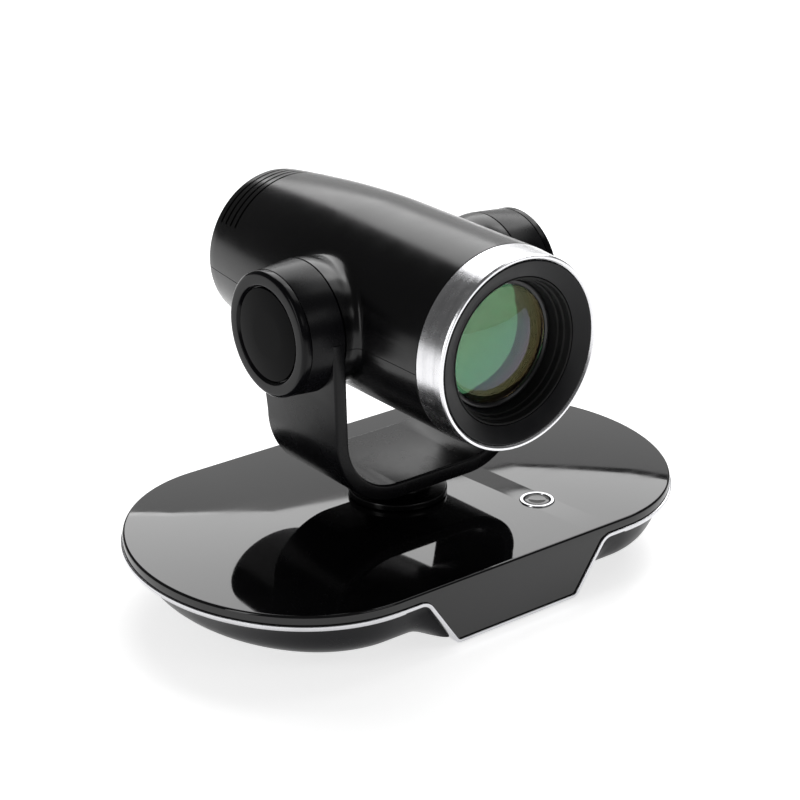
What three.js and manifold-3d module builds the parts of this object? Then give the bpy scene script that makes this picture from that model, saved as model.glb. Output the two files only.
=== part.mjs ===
// A pan-tilt-zoom meeting room camera: a flat base, a yoke that pans and a barrel head that tilts.
// Millimetres, +Z up, -Y is the front. The origin is where the pan axis meets the flat underside.
import * as THREE from 'three';
import Module from 'manifold-3d';
import { mergeVertices } from 'three/addons/utils/BufferGeometryUtils.js';

const wasm = await Module();
wasm.setup();

// ---------------------------------------------------------------- driving dimensions
const CLEAR = 0.3; // gap between pieces that meet
const RUN = 0.5; // gap between pieces that turn or slide past each other

// base
const BASE_WIDTH = 260;
const BASE_DEPTH = 156;
const BASE_STRAIGHT = 124; // straight stretch of the front and back edges
const BASE_AHEAD = 4.2; // the base's middle lies this far in front of the pan axis
const BASE_HEIGHT = 31;
const COVER_BAND = 4; // height of the cover's side band
const COVER_EDGE = 1.2; // the rounding of the cover's top edge
const COVER_WALL = 2.4;
const TRIM_HEIGHT = 2.7;
const TRIM_PROUD = 0.8;
const TRIM_DEPTH = 3;
const SHELL_WALL = 2.4;
const SHELL_SHOULDER = 2; // how far in the lower shell starts under the trim
const SHELL_TAPER = 28; // how far the lower shell draws in at its bottom
const SHELL_SIDE_SHARE = 0.29; // the share of that taper that the steep side wall takes
const SHELL_END_TAPER = 6; // how much more it draws in at its ends
const SHELL_FLOOR = 2;
const BASE_PLATE = 1.5;
const FOOT_RADIUS = 7;
const FOOT_HEIGHT = 2.5;
const FOOT_REACH_X = 72;
const FOOT_REACH_Y = 37;
const PANEL_TOP_WIDTH = 94;
const PANEL_BOTTOM_WIDTH = 65;
const PANEL_THICK = 2;
const PANEL_LOW = 3.4; // height of the panel's bottom edge
const DIP_WIDTH = 1.6; // the trim's width where it runs round the panel
const TRIPOD_AHEAD = 36;
const TRIPOD_BORE = 3.1;
const TRIPOD_RADIUS = 8;
const TRIPOD_DEPTH = 10;
const BOARD_HEIGHT = 6;
const BOARD_THICK = 1.6;
const BOARD_WIDTH = 120;
const BUTTON_X = 42.5;
const BUTTON_AHEAD = 45.3;
const BUTTON_RADIUS = 5.6;
const BUTTON_RING = 7.8;
const BUTTON_PROUD = 0.4;
const BUTTON_TRAVEL = 0.6;
const BAY_WIDTH = 96; // the socket bay in the back
const BAY_FLOOR = 5.2; // height of the bay's underside
const BAY_BACK = 62; // how far behind the base's middle the socket plate stands

// pan drive
const COLUMN_RADIUS = 14;
const FLANGE_RADIUS = 22;
const FLANGE_HEIGHT = 3;
const SHAFT_RADIUS = 9;
const SHAFT_BORE = 6;
const PAN_TEETH = 36;
const PINION_TEETH = 12;
const PAN_MODULE = 1.25;
const PAN_GEAR_Z = 10.5;
const PAN_GEAR_THICK = 4;
const PAN_MOTOR_RADIUS = 11;

// yoke
const TILT_HEIGHT = 121.8;
const YOKE_INNER = 45.5; // half the gap between the arms at their root
const YOKE_LEAN = 3.3; // the arms open this much more at the hubs
const YOKE_THICK = 6.1;
const YOKE_SADDLE = 50; // height of the yoke's inner bottom
const YOKE_BOTTOM_THICK = 7.1;
const YOKE_DEPTH = 51;
const YOKE_FILLET = 25.6;
const HUB_RADIUS = 28.3;
const HUB_TIP_RADIUS = 26.9;
const HUB_END = 68.6; // how far out the hub caps reach
const HUB_WALL = 1.8;
const CAP_LENGTH = 4;
const CAP_DISC_RADIUS = 20;
const TILT_TEETH = 24;
const TILT_MODULE = 1;
const TILT_SHAFT_RADIUS = 7.5;
const TILT_BEARING_RADIUS = 12;
const TILT_BEARING_WIDTH = 4;

// head
const HEAD_RADIUS = 42.3;
const HEAD_FRONT = 80.3; // front of the ring, ahead of the tilt axis
const HEAD_BACK = 92.3;
const HEAD_REAR_RADIUS = 35.3;
const HEAD_WALL = 2.4;
const TAPER_START = 8; // the barrel narrows from this far behind the axis
const TAPER_POWER = 1.75;
const FLARE = 5; // how far the side flanges spread where they meet the barrel
const FLARE_SQUEEZE = 0.88; // the flare is this much flatter above and below
const SEAM_DROP = 3; // the seam between the head shells lies below the axis
const RING_LENGTH = 14.3;
const RING_FRONT_RADIUS = 40.95;
const BEZEL_RADIUS = 38.9;
const BEZEL_OPENING = 31.6;
const BEZEL_DEPTH = 3.6;
const LENS_RADIUS = 25.2;
const LENS_CURVE = 52;
const LENS_BACKSET = 10; // the retaining ring's face lies this far behind the opening
const BARREL_OUTER = 29.5;
const BARREL_WALL = 2.5;
const BARREL_BACK = 46;
const ROD_RADIUS = 1.2;
const ROD_REACH = 21.5;

// mesh fineness
const ROUND = 32;
const SMALL_ROUND = 16;

// ---------------------------------------------------------------- helpers
function toSolid(geometry) {
  const bare = geometry.clone();
  bare.deleteAttribute('normal');
  bare.deleteAttribute('uv');
  const merged = mergeVertices(bare, 1e-4);
  const position = merged.attributes.position;
  const index = merged.index.array;
  const kept = [];
  let volume = 0;
  const a = new THREE.Vector3();
  const b = new THREE.Vector3();
  const c = new THREE.Vector3();
  for (let i = 0; i < index.length; i += 3) {
    const [p, q, r] = [index[i], index[i + 1], index[i + 2]];
    if (p === q || q === r || r === p) continue;
    kept.push(p, q, r);
    a.fromBufferAttribute(position, p);
    b.fromBufferAttribute(position, q);
    c.fromBufferAttribute(position, r);
    volume += a.dot(b.cross(c));
  }
  if (volume < 0) kept.reverse();
  const vertProperties = new Float32Array(position.array);
  const triVerts = new Uint32Array(kept);
  return new wasm.Manifold(new wasm.Mesh({ numProp: 3, vertProperties, triVerts }));
}

function toGeometry(solid) {
  const data = solid.getMesh();
  const geometry = new THREE.BufferGeometry();
  geometry.setAttribute('position', new THREE.BufferAttribute(new Float32Array(data.vertProperties), 3));
  geometry.setIndex(new THREE.BufferAttribute(new Uint32Array(data.triVerts), 1));
  geometry.computeVertexNormals();
  return geometry;
}

function join(...geometries) {
  return geometries.map(toSolid).reduce((whole, next) => whole.add(next));
}

function cut(solid, ...geometries) {
  return geometries.map(toSolid).reduce((whole, next) => whole.subtract(next), solid);
}

// A profile of [radius, height] turned about Z.
function turnedZ(profile, segments = ROUND) {
  const points = profile.map(([r, z]) => new THREE.Vector2(r, z));
  const geometry = new THREE.LatheGeometry(points, segments);
  return geometry.rotateX(Math.PI / 2);
}

// A profile of [radius, distance ahead] turned about the head's axis, which runs towards -Y.
function turnedAhead(profile, segments = ROUND) {
  return turnedZ(profile, segments).rotateX(Math.PI / 2);
}

// A profile of [radius, distance out] turned about X; side is -1 or 1.
function turnedOut(profile, side, segments = ROUND) {
  return turnedZ(profile, segments).rotateY((side * Math.PI) / 2);
}

function tube(outer, inner, low, high) {
  return [[inner, low], [outer, low], [outer, high], [inner, high], [inner, low]];
}

function rod(radius, low, high) {
  return [[0, low], [radius, low], [radius, high], [0, high]];
}

function block(xSize, ySize, zSize, x, y, z) {
  return new THREE.BoxGeometry(xSize, ySize, zSize).translate(x, y, z);
}

// An outline in X and Z, extruded along Y between two places.
function slabY(shape, yLow, yHigh) {
  const geometry = new THREE.ExtrudeGeometry(shape, { depth: yHigh - yLow, bevelEnabled: false });
  return geometry.rotateX(Math.PI / 2).translate(0, yHigh, 0);
}

function slabZ(shape, low, high, options = {}) {
  const settings = { depth: high - low, bevelEnabled: false, curveSegments: 10, ...options };
  return new THREE.ExtrudeGeometry(shape, settings).translate(0, 0, low);
}

function plain(colour, roughness, metalness) {
  return new THREE.MeshStandardMaterial({ color: colour, roughness, metalness });
}

const finish = {
  glossBlack: plain(0x0c0c0e, 0.08, 0),
  satinBlack: plain(0x17171a, 0.42, 0),
  satinGrey: plain(0x3a3a3e, 0.45, 0),
  chrome: plain(0xe6e6ea, 0.12, 1),
  aluminium: plain(0xc9c9cd, 0.3, 1),
  steel: plain(0x8d9094, 0.35, 1),
  brass: plain(0xb08d45, 0.3, 1),
  rubber: plain(0x141414, 0.9, 0),
  board: plain(0x1f5a34, 0.5, 0),
  nylon: plain(0xd8d4c4, 0.55, 0),
  matteBlack: plain(0x060606, 0.85, 0),
  lensGlass: plain(0x29493a, 0.03, 0),
};

const camera = new THREE.Group();
const pan = new THREE.Group();
const head = new THREE.Group();
head.position.set(0, 0, TILT_HEIGHT);
pan.add(head);
camera.add(pan);

function place(group, name, shape, material) {
  const geometry = shape.isBufferGeometry ? toGeometry(toSolid(shape)) : toGeometry(shape);
  const mesh = new THREE.Mesh(geometry, material);
  mesh.name = name;
  group.add(mesh);
}

// ---------------------------------------------------------------- base: plan and levels
const coverBottom = BASE_HEIGHT - COVER_BAND;
const trimBottom = coverBottom - TRIM_HEIGHT;
const shellBottom = BASE_PLATE + CLEAR;

// The base's plan: straight front and back, half ellipses at the ends.
function planShape() {
  const straight = BASE_STRAIGHT / 2;
  const endX = BASE_WIDTH / 2 - straight;
  const endY = BASE_DEPTH / 2;
  const shape = new THREE.Shape();
  shape.absellipse(straight, -BASE_AHEAD, endX, endY, -Math.PI / 2, Math.PI / 2, false);
  shape.absellipse(-straight, -BASE_AHEAD, endX, endY, Math.PI / 2, Math.PI * 1.5, false);
  return shape;
}

// Draws a plan-shaped slab in, level by level, by the given inset, and its ends by a little more.
function drawnIn(geometry, insetAt, endExtraAt) {
  const straight = BASE_STRAIGHT / 2;
  const endX = BASE_WIDTH / 2 - straight;
  const endY = BASE_DEPTH / 2;
  const position = geometry.attributes.position;
  for (let i = 0; i < position.count; i += 1) {
    const inset = insetAt(position.getZ(i));
    const endInset = inset + endExtraAt(position.getZ(i));
    const x = position.getX(i);
    const beyond = Math.max(Math.abs(x) - straight, 0);
    const y = position.getY(i) + BASE_AHEAD;
    position.setX(i, Math.sign(x) * (Math.abs(x) - (beyond * endInset) / endX));
    position.setY(i, y * (1 - inset / endY) - BASE_AHEAD);
  }
  return geometry;
}

function planSlab(low, high, insetAt, steps = 1, endExtraAt = () => 0) {
  return drawnIn(slabZ(planShape(), low, high, { steps }), insetAt, endExtraAt);
}

// How far down the lower shell a height lies, from 0 under the trim to 1 at the bottom.
function shellFall(z) {
  return THREE.MathUtils.clamp((trimBottom - z) / (trimBottom - shellBottom), 0, 1);
}

// How far the lower shell's outside is drawn in at a height: a steep side, then a round bottom.
function shellInset(z) {
  const fall = shellFall(z);
  const side = SHELL_SIDE_SHARE * fall + (1 - SHELL_SIDE_SHARE) * Math.pow(fall, 6);
  return SHELL_SHOULDER + SHELL_TAPER * side;
}

function shellEndExtra(z) {
  return SHELL_END_TAPER * Math.pow(shellFall(z), 0.7);
}

const baseFront = -BASE_AHEAD - BASE_DEPTH / 2;
const panelFace = baseFront;

// The outline of the front panel: a wide top and a narrow bottom, grown by margin.
function panelShape(margin, low, high) {
  const slope = (PANEL_TOP_WIDTH - PANEL_BOTTOM_WIDTH) / 2 / (trimBottom - PANEL_LOW);
  const widthAt = (z) => PANEL_BOTTOM_WIDTH / 2 + slope * (z - PANEL_LOW) + margin;
  const shape = new THREE.Shape();
  shape.moveTo(-widthAt(low), low);
  shape.lineTo(widthAt(low), low);
  shape.lineTo(widthAt(high), high);
  shape.lineTo(-widthAt(high), high);
  shape.closePath();
  return shape;
}

function frontSlab(margin, low, high, yLow, yHigh) {
  return slabY(panelShape(margin, low, high), yLow, yHigh);
}

// ---------------------------------------------------------------- base: pieces
function buildTopCover() {
  const rounding = (z) => (z > BASE_HEIGHT - COVER_EDGE ? z - (BASE_HEIGHT - COVER_EDGE) : 0);
  const body = join(
    planSlab(coverBottom, BASE_HEIGHT - COVER_EDGE, () => 0),
    planSlab(BASE_HEIGHT - COVER_EDGE, BASE_HEIGHT, rounding),
  );
  const under = planSlab(coverBottom - 1, BASE_HEIGHT - COVER_WALL, () => COVER_WALL);
  const columnHole = turnedZ(rod(SHAFT_RADIUS + 2, 0, BASE_HEIGHT + 1));
  const buttonHole = turnedZ(rod(BUTTON_RADIUS + CLEAR, 0, BASE_HEIGHT + 1), SMALL_ROUND);
  buttonHole.translate(BUTTON_X, -BUTTON_AHEAD, 0);
  place(camera, 'top_cover', cut(body, under, columnHole, buttonHole), finish.glossBlack);
}

function buildTrimStrip() {
  const outer = planSlab(trimBottom, coverBottom - CLEAR, () => -TRIM_PROUD);
  const inner = planSlab(trimBottom - 1, coverBottom + 1, () => TRIM_DEPTH);
  const dipTop = coverBottom - CLEAR;
  const span = frontSlab(DIP_WIDTH / 2, 0, dipTop + 1, baseFront - 5, baseFront + 12);
  const dipLow = PANEL_LOW - DIP_WIDTH;
  const dipOuter = frontSlab(DIP_WIDTH, dipLow, dipTop, panelFace - TRIM_PROUD, panelFace + TRIM_DEPTH);
  const dipInner = frontSlab(0, PANEL_LOW, dipTop + 5, panelFace - 5, panelFace + 12);
  const band = cut(cut(toSolid(outer), inner), span);
  const dip = cut(toSolid(dipOuter), dipInner);
  place(camera, 'trim_strip', band.add(dip), finish.chrome);
}

function buildFrontPanel() {
  const top = coverBottom - 2 * CLEAR;
  const low = PANEL_LOW + CLEAR;
  const panel = frontSlab(-CLEAR, low, top, panelFace, panelFace + PANEL_THICK);
  place(camera, 'front_panel', panel, finish.glossBlack);
}

function bayBox(grow, front, back) {
  const width = BAY_WIDTH - 2 * grow;
  const low = BAY_FLOOR + grow;
  const high = trimBottom - CLEAR - grow;
  return block(width, back - front, high - low, 0, (front + back) / 2, (low + high) / 2);
}

const bayBack = BAY_BACK - BASE_AHEAD;
const housingBack = baseFront + 26;

function buildLowerShell() {
  const high = trimBottom - CLEAR;
  const steps = 6;
  const innerInset = (z) => shellInset(z) + SHELL_WALL;
  const body = planSlab(shellBottom, high, shellInset, steps, shellEndExtra);
  const hollow = planSlab(shellBottom + SHELL_FLOOR, high + 1, innerInset, steps, shellEndExtra);
  const housingFront = panelFace + PANEL_THICK + CLEAR;
  const housingLow = PANEL_LOW + CLEAR;
  const housing = frontSlab(-CLEAR, housingLow, high, housingFront, housingBack);
  const roomLow = housingLow + SHELL_WALL;
  const housingRoom = frontSlab(-SHELL_WALL, roomLow, high + 1, housingFront + SHELL_WALL, housingBack + 1);
  const panelRoom = frontSlab(0, PANEL_LOW, high + 5, baseFront - 5, housingFront);
  const dipRoom = frontSlab(DIP_WIDTH + CLEAR, -1, high + 5, baseFront - 5, panelFace + TRIM_DEPTH + CLEAR);
  const bay = toSolid(bayBox(0, bayBack - 2, bayBack + 30)).intersect(toSolid(body));
  let shell = toSolid(body).subtract(toSolid(hollow)).add(toSolid(housing));
  shell = cut(shell, housingRoom, panelRoom, dipRoom);
  shell = cut(shell.add(bay), bayBox(SHELL_WALL, bayBack - 20, bayBack + 40));
  const tripodHole = turnedZ(rod(TRIPOD_RADIUS + CLEAR, 0, 20), SMALL_ROUND).translate(0, -TRIPOD_AHEAD, 0);
  place(camera, 'lower_shell', cut(shell, tripodHole), finish.satinBlack);
}

function footPlaces() {
  return [[-1, 'left'], [1, 'right']].flatMap(([sideX, nameX]) => {
    return [[-1, 'front'], [1, 'back']].map(([sideY, nameY]) => ({
      name: `foot_${nameY}_${nameX}`,
      x: sideX * FOOT_REACH_X,
      y: sideY * FOOT_REACH_Y - BASE_AHEAD,
    }));
  });
}

function buildBasePlate() {
  const inset = SHELL_SHOULDER + SHELL_TAPER + 1;
  const plate = toSolid(planSlab(0, BASE_PLATE, () => inset, 1, () => SHELL_END_TAPER));
  const hole = turnedZ(rod(TRIPOD_RADIUS - 2, -1, 20), SMALL_ROUND).translate(0, -TRIPOD_AHEAD, 0);
  const footHoles = footPlaces().map(({ x, y }) => {
    return turnedZ(rod(FOOT_RADIUS + CLEAR, -1, 20), SMALL_ROUND).translate(x, y, 0);
  });
  place(camera, 'base_plate', cut(plate, hole, ...footHoles), finish.steel);
}

function buildTripodBush() {
  const low = BASE_PLATE + CLEAR;
  const spigot = TRIPOD_RADIUS - 2 - CLEAR;
  const roof = low + TRIPOD_DEPTH;
  const profile = [
    [TRIPOD_BORE, 0], [spigot, 0], [spigot, low], [TRIPOD_RADIUS, low],
    [TRIPOD_RADIUS, roof], [0, roof], [0, roof - 1.5], [TRIPOD_BORE, roof - 1.5], [TRIPOD_BORE, 0],
  ];
  const bush = turnedZ(profile, SMALL_ROUND).translate(0, -TRIPOD_AHEAD, 0);
  place(camera, 'tripod_bush', bush, finish.brass);
}

// The feet stand in holes of the base plate, against the lower shell.
function buildFeet() {
  const profile = [
    [0, -FOOT_HEIGHT], [FOOT_RADIUS - 1, -FOOT_HEIGHT], [FOOT_RADIUS, 1 - FOOT_HEIGHT],
    [FOOT_RADIUS, BASE_PLATE], [0, BASE_PLATE],
  ];
  for (const { name, x, y } of footPlaces()) {
    place(camera, name, turnedZ(profile, SMALL_ROUND).translate(x, y, 0), finish.rubber);
  }
}

const boardTop = BOARD_HEIGHT + BOARD_THICK;

function buildMainBoard() {
  const back = bayBack - 2 - CLEAR;
  const front = -38;
  const level = BOARD_HEIGHT + BOARD_THICK / 2;
  const body = block(BOARD_WIDTH, back - front, BOARD_THICK, 0, (front + back) / 2, level);
  const shaftRoom = turnedZ(rod(SHAFT_RADIUS + 3, 0, 20), SMALL_ROUND);
  const bushRoom = turnedZ(rod(TRIPOD_RADIUS + 1, 0, 20), SMALL_ROUND).translate(0, -TRIPOD_AHEAD, 0);
  const board = cut(toSolid(body), shaftRoom, bushRoom);
  const arm = toSolid(block(24, 20, BOARD_THICK, BUTTON_X, -BUTTON_AHEAD, level));
  place(camera, 'main_board', board.add(arm), finish.board);
}

function buildWindowParts() {
  const y = panelFace + PANEL_THICK + SHELL_WALL + 5;
  const boardLow = PANEL_LOW + SHELL_WALL + 3 * CLEAR;
  const z = boardLow + BOARD_THICK + CLEAR;
  const receiver = join(
    block(9, 5, 8, -14, y, z + 4),
    turnedAhead(rod(3.2, -y, 2.6 - y), SMALL_ROUND).translate(-14, 0, z + 4.5),
  );
  place(camera, 'remote_receiver', receiver, finish.matteBlack);
  const light = join(
    block(4, 4, 6, 14, y, z + 3),
    turnedAhead(rod(1.5, -y, 4 - y), SMALL_ROUND).translate(14, 0, z + 4.5),
  );
  place(camera, 'status_light', light, finish.nylon);
  const carrier = block(56, 8, BOARD_THICK, 0, y + 2, boardLow + BOARD_THICK / 2);
  place(camera, 'window_board', carrier, finish.board);
}

const SOCKETS = [
  { name: 'power_socket', x: -34, width: 11, height: 11, holeWidth: 7, holeHeight: 7 },
  { name: 'video_socket', x: -14, width: 18, height: 9, holeWidth: 14, holeHeight: 5 },
  { name: 'usb_socket', x: 9, width: 14, height: 11, holeWidth: 9, holeHeight: 8 },
  { name: 'network_socket', x: 32, width: 16, height: 13, holeWidth: 12, holeHeight: 8 },
];
const SOCKET_DEPTH = 14;
const socketPlateThick = 1.2;

function socketHole(socket, grow, front, back) {
  const z = boardTop + CLEAR + socket.height / 2;
  const depth = back - front;
  return block(socket.holeWidth + grow, depth, socket.holeHeight + grow, socket.x, front + depth / 2, z);
}

function buildSockets() {
  const back = bayBack - CLEAR;
  for (const socket of SOCKETS) {
    const z = boardTop + CLEAR + socket.height / 2;
    const body = block(socket.width, SOCKET_DEPTH, socket.height, socket.x, back - SOCKET_DEPTH / 2, z);
    const hole = socketHole(socket, 0, back - SOCKET_DEPTH + 2, back + 1);
    place(camera, socket.name, cut(toSolid(body), hole), finish.steel);
  }
}

function buildSocketPlate() {
  const low = BAY_FLOOR + SHELL_WALL + CLEAR;
  const high = trimBottom - CLEAR - SHELL_WALL - CLEAR;
  const width = BAY_WIDTH - 2 * SHELL_WALL - 2 * CLEAR;
  const y = bayBack + socketPlateThick / 2;
  const plate = toSolid(block(width, socketPlateThick, high - low, 0, y, (low + high) / 2));
  const holes = SOCKETS.map((socket) => socketHole(socket, 1, bayBack - 2, bayBack + 5));
  place(camera, 'socket_plate', cut(plate, ...holes), finish.satinGrey);
}

// ---------------------------------------------------------------- base: push button
function buildButton() {
  const top = BASE_HEIGHT + BUTTON_PROUD;
  const ring = [
    [BUTTON_RADIUS + CLEAR, BASE_HEIGHT], [BUTTON_RING, BASE_HEIGHT], [BUTTON_RING - 0.3, top + 0.2],
    [BUTTON_RADIUS + CLEAR + 0.3, top + 0.2], [BUTTON_RADIUS + CLEAR, BASE_HEIGHT],
  ];
  place(camera, 'button_ring', turnedZ(ring, ROUND).translate(BUTTON_X, -BUTTON_AHEAD, 0), finish.chrome);
  const switchTop = boardTop + CLEAR + 3.5;
  const stemEnd = switchTop + BUTTON_TRAVEL + CLEAR;
  const cap = [
    [0, stemEnd], [2, stemEnd], [2, BASE_HEIGHT - 3], [BUTTON_RADIUS, BASE_HEIGHT - 3],
    [BUTTON_RADIUS, top - 0.4], [BUTTON_RADIUS - 0.4, top], [0, top],
  ];
  place(camera, 'push_button', turnedZ(cap, ROUND).translate(BUTTON_X, -BUTTON_AHEAD, 0), finish.glossBlack);
  const body = block(6, 6, 3.5, BUTTON_X, -BUTTON_AHEAD, switchTop - 1.75);
  place(camera, 'button_switch', body, finish.matteBlack);
}

// ---------------------------------------------------------------- pan drive
// A straight-toothed gear in the XY plane, with one tooth on +X, turned by phase.
function gearShape(teeth, module, phase) {
  const pitch = (teeth * module) / 2;
  const tip = pitch + 0.7 * module;
  const root = pitch - 1.05 * module;
  const halfWidths = [[root, 1.1], [tip, 0.4]];
  const outline = [];
  for (let tooth = 0; tooth < teeth; tooth += 1) {
    const middle = phase + (tooth * 2 * Math.PI) / teeth;
    for (const [radius, half] of halfWidths) {
      const angle = middle - (half * module) / radius;
      outline.push(new THREE.Vector2(radius * Math.cos(angle), radius * Math.sin(angle)));
    }
    for (const [radius, half] of [...halfWidths].reverse()) {
      const angle = middle + (half * module) / radius;
      outline.push(new THREE.Vector2(radius * Math.cos(angle), radius * Math.sin(angle)));
    }
  }
  return new THREE.Shape(outline);
}

const panGap = ((PAN_TEETH + PINION_TEETH) * PAN_MODULE) / 2;
const panMotorAngle = THREE.MathUtils.degToRad(200);
const panMotorX = panGap * Math.cos(panMotorAngle);
const panMotorY = panGap * Math.sin(panMotorAngle);
const gearTop = PAN_GEAR_Z + PAN_GEAR_THICK;
const motorLow = gearTop + 1.5;
const motorTop = BASE_HEIGHT - COVER_WALL - CLEAR;
const pinionRadius = (PINION_TEETH * PAN_MODULE) / 2;

function buildPanDrive() {
  const gear = toSolid(slabZ(gearShape(PAN_TEETH, PAN_MODULE, panMotorAngle), PAN_GEAR_Z, gearTop));
  const bore = turnedZ(rod(SHAFT_RADIUS + CLEAR, 0, 40));
  place(pan, 'pan_gear', cut(gear, bore), finish.nylon);
  const phase = panMotorAngle + Math.PI + Math.PI / PINION_TEETH;
  const pinion = join(
    slabZ(gearShape(PINION_TEETH, PAN_MODULE, phase), PAN_GEAR_Z - 0.5, gearTop + 0.5),
    turnedZ(rod(1.5, PAN_GEAR_Z, motorTop - 3), SMALL_ROUND),
  );
  place(camera, 'pan_pinion', pinion.translate([panMotorX, panMotorY, 0]), finish.brass);
  const motor = cut(
    toSolid(turnedZ(rod(PAN_MOTOR_RADIUS, motorLow, motorTop))),
    turnedZ(rod(1.5 + RUN, motorLow - 1, motorTop - 2), SMALL_ROUND),
  );
  place(camera, 'pan_motor', motor.translate([panMotorX, panMotorY, 0]), finish.steel);
  const bearing = turnedZ(tube(SHAFT_RADIUS + 6, SHAFT_RADIUS + RUN, gearTop + 4, motorTop));
  place(camera, 'pan_bearing', bearing, finish.steel);
}

const flangeLow = BASE_HEIGHT + RUN;
const flangeTop = flangeLow + FLANGE_HEIGHT;
const yokeUnder = YOKE_SADDLE - YOKE_BOTTOM_THICK;

function buildPanColumn() {
  const low = PAN_GEAR_Z - 1.5;
  const shaft = turnedZ(tube(SHAFT_RADIUS, SHAFT_BORE, low, yokeUnder - CLEAR));
  place(pan, 'pan_shaft', shaft, finish.steel);
  const inner = SHAFT_RADIUS + CLEAR;
  const profile = [
    [inner, flangeLow], [FLANGE_RADIUS, flangeLow], [FLANGE_RADIUS, flangeTop - 1],
    [FLANGE_RADIUS - 1, flangeTop], [COLUMN_RADIUS + 2, flangeTop], [COLUMN_RADIUS, flangeTop + 2],
    [COLUMN_RADIUS, yokeUnder - CLEAR], [inner, yokeUnder - CLEAR], [inner, flangeLow],
  ];
  place(pan, 'pan_flange', turnedZ(profile), finish.satinBlack);
}

// ---------------------------------------------------------------- yoke
const hubStart = YOKE_INNER + YOKE_LEAN;
const yokeOuterFillet = YOKE_FILLET + YOKE_BOTTOM_THICK;
const armRoot = YOKE_SADDLE + YOKE_FILLET;
const cupFloor = hubStart + HUB_WALL;

// The U of the yoke in X and Z: two arms, a bottom bar and round corners inside and out.
function yokeShape() {
  const outer = YOKE_INNER + YOKE_THICK;
  const centreX = YOKE_INNER - YOKE_FILLET;
  const shape = new THREE.Shape();
  shape.moveTo(-outer, TILT_HEIGHT);
  shape.lineTo(-outer, armRoot);
  shape.absellipse(-centreX, armRoot, outer - centreX, yokeOuterFillet, Math.PI, Math.PI * 1.5, false);
  shape.absellipse(centreX, armRoot, outer - centreX, yokeOuterFillet, Math.PI * 1.5, Math.PI * 2, false);
  shape.lineTo(outer, TILT_HEIGHT);
  shape.lineTo(YOKE_INNER, TILT_HEIGHT);
  shape.lineTo(YOKE_INNER, armRoot);
  shape.absarc(centreX, armRoot, YOKE_FILLET, 0, -Math.PI / 2, true);
  shape.absarc(-centreX, armRoot, YOKE_FILLET, -Math.PI / 2, -Math.PI, true);
  shape.lineTo(-YOKE_INNER, TILT_HEIGHT);
  shape.closePath();
  return shape;
}

// Leans the arms out and widens them towards the hubs.
function openArms(geometry) {
  const position = geometry.attributes.position;
  const widen = (2 * HUB_RADIUS) / YOKE_DEPTH - 1;
  for (let i = 0; i < position.count; i += 1) {
    const rise = THREE.MathUtils.clamp((position.getZ(i) - armRoot) / (TILT_HEIGHT - armRoot), 0, 1);
    const x = position.getX(i);
    position.setX(i, x + Math.sign(x) * YOKE_LEAN * rise);
    position.setY(i, position.getY(i) * (1 + widen * rise));
  }
  return geometry;
}

const capSeat = HUB_END - CAP_LENGTH - CLEAR;

// The yoke's arms end in round cradles that the hub housings sit in.
function buildYoke() {
  let yoke = toSolid(openArms(slabY(yokeShape(), -YOKE_DEPTH / 2, YOKE_DEPTH / 2)));
  for (const side of [-1, 1]) {
    const cradle = turnedOut(rod(HUB_RADIUS + CLEAR, hubStart - CLEAR, HUB_END), side);
    const flangeRoom = turnedOut(rod(HUB_RADIUS + 2 * RUN, YOKE_INNER - 5, hubStart), side);
    for (const room of [cradle, flangeRoom]) {
      yoke = cut(yoke, room.translate(0, 0, TILT_HEIGHT));
    }
  }
  place(pan, 'yoke', yoke, finish.satinGrey);
}

// The cups on the arms that hold the tilt bearings and the tilt drive.
function buildHubHousings() {
  const cupInner = HUB_TIP_RADIUS - HUB_WALL;
  for (const [side, name] of [[-1, 'left'], [1, 'right']]) {
    const profile = [[0, hubStart], [HUB_RADIUS, hubStart], [HUB_TIP_RADIUS, capSeat], [0, capSeat]];
    const housing = cut(
      toSolid(turnedOut(profile, side)),
      turnedOut(rod(cupInner, cupFloor, capSeat + 1), side),
      turnedOut(rod(TILT_BEARING_RADIUS + CLEAR, hubStart - 1, cupFloor + 1), side),
    );
    place(head, `hub_housing_${name}`, housing, finish.satinGrey);
  }
}

function buildHubCaps() {
  const low = HUB_END - CAP_LENGTH;
  const discRoom = CAP_DISC_RADIUS + CLEAR;
  for (const [side, name] of [[-1, 'left'], [1, 'right']]) {
    const profile = [
      [0, low], [HUB_TIP_RADIUS, low], [HUB_TIP_RADIUS, HUB_END - 2], [HUB_TIP_RADIUS - 0.7, HUB_END - 0.6],
      [HUB_TIP_RADIUS - 2.2, HUB_END], [discRoom + 1.2, HUB_END], [discRoom, HUB_END - 1.2],
      [discRoom, HUB_END - 2], [0, HUB_END - 2],
    ];
    place(head, `hub_cap_${name}`, turnedOut(profile, side), finish.satinBlack);
    const disc = [
      [0, HUB_END - 2 + CLEAR], [CAP_DISC_RADIUS, HUB_END - 2 + CLEAR],
      [CAP_DISC_RADIUS, HUB_END - 0.6], [0, HUB_END - 0.2],
    ];
    place(head, `cap_disc_${name}`, turnedOut(disc, side), finish.glossBlack);
  }
}

// ---------------------------------------------------------------- tilt drive
const tiltGap = ((TILT_TEETH + PINION_TEETH) * TILT_MODULE) / 2;
const tiltGearOut = hubStart + TILT_BEARING_WIDTH + 1.5;
const tiltGearThick = 3;
const shaftTip = tiltGearOut + tiltGearThick + 1;

// A gear across X, between two distances out on the right, with its own X axis pointing up.
function gearAcrossX(shape, low, high) {
  return slabZ(shape, -high, -low).rotateY(-Math.PI / 2);
}

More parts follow.
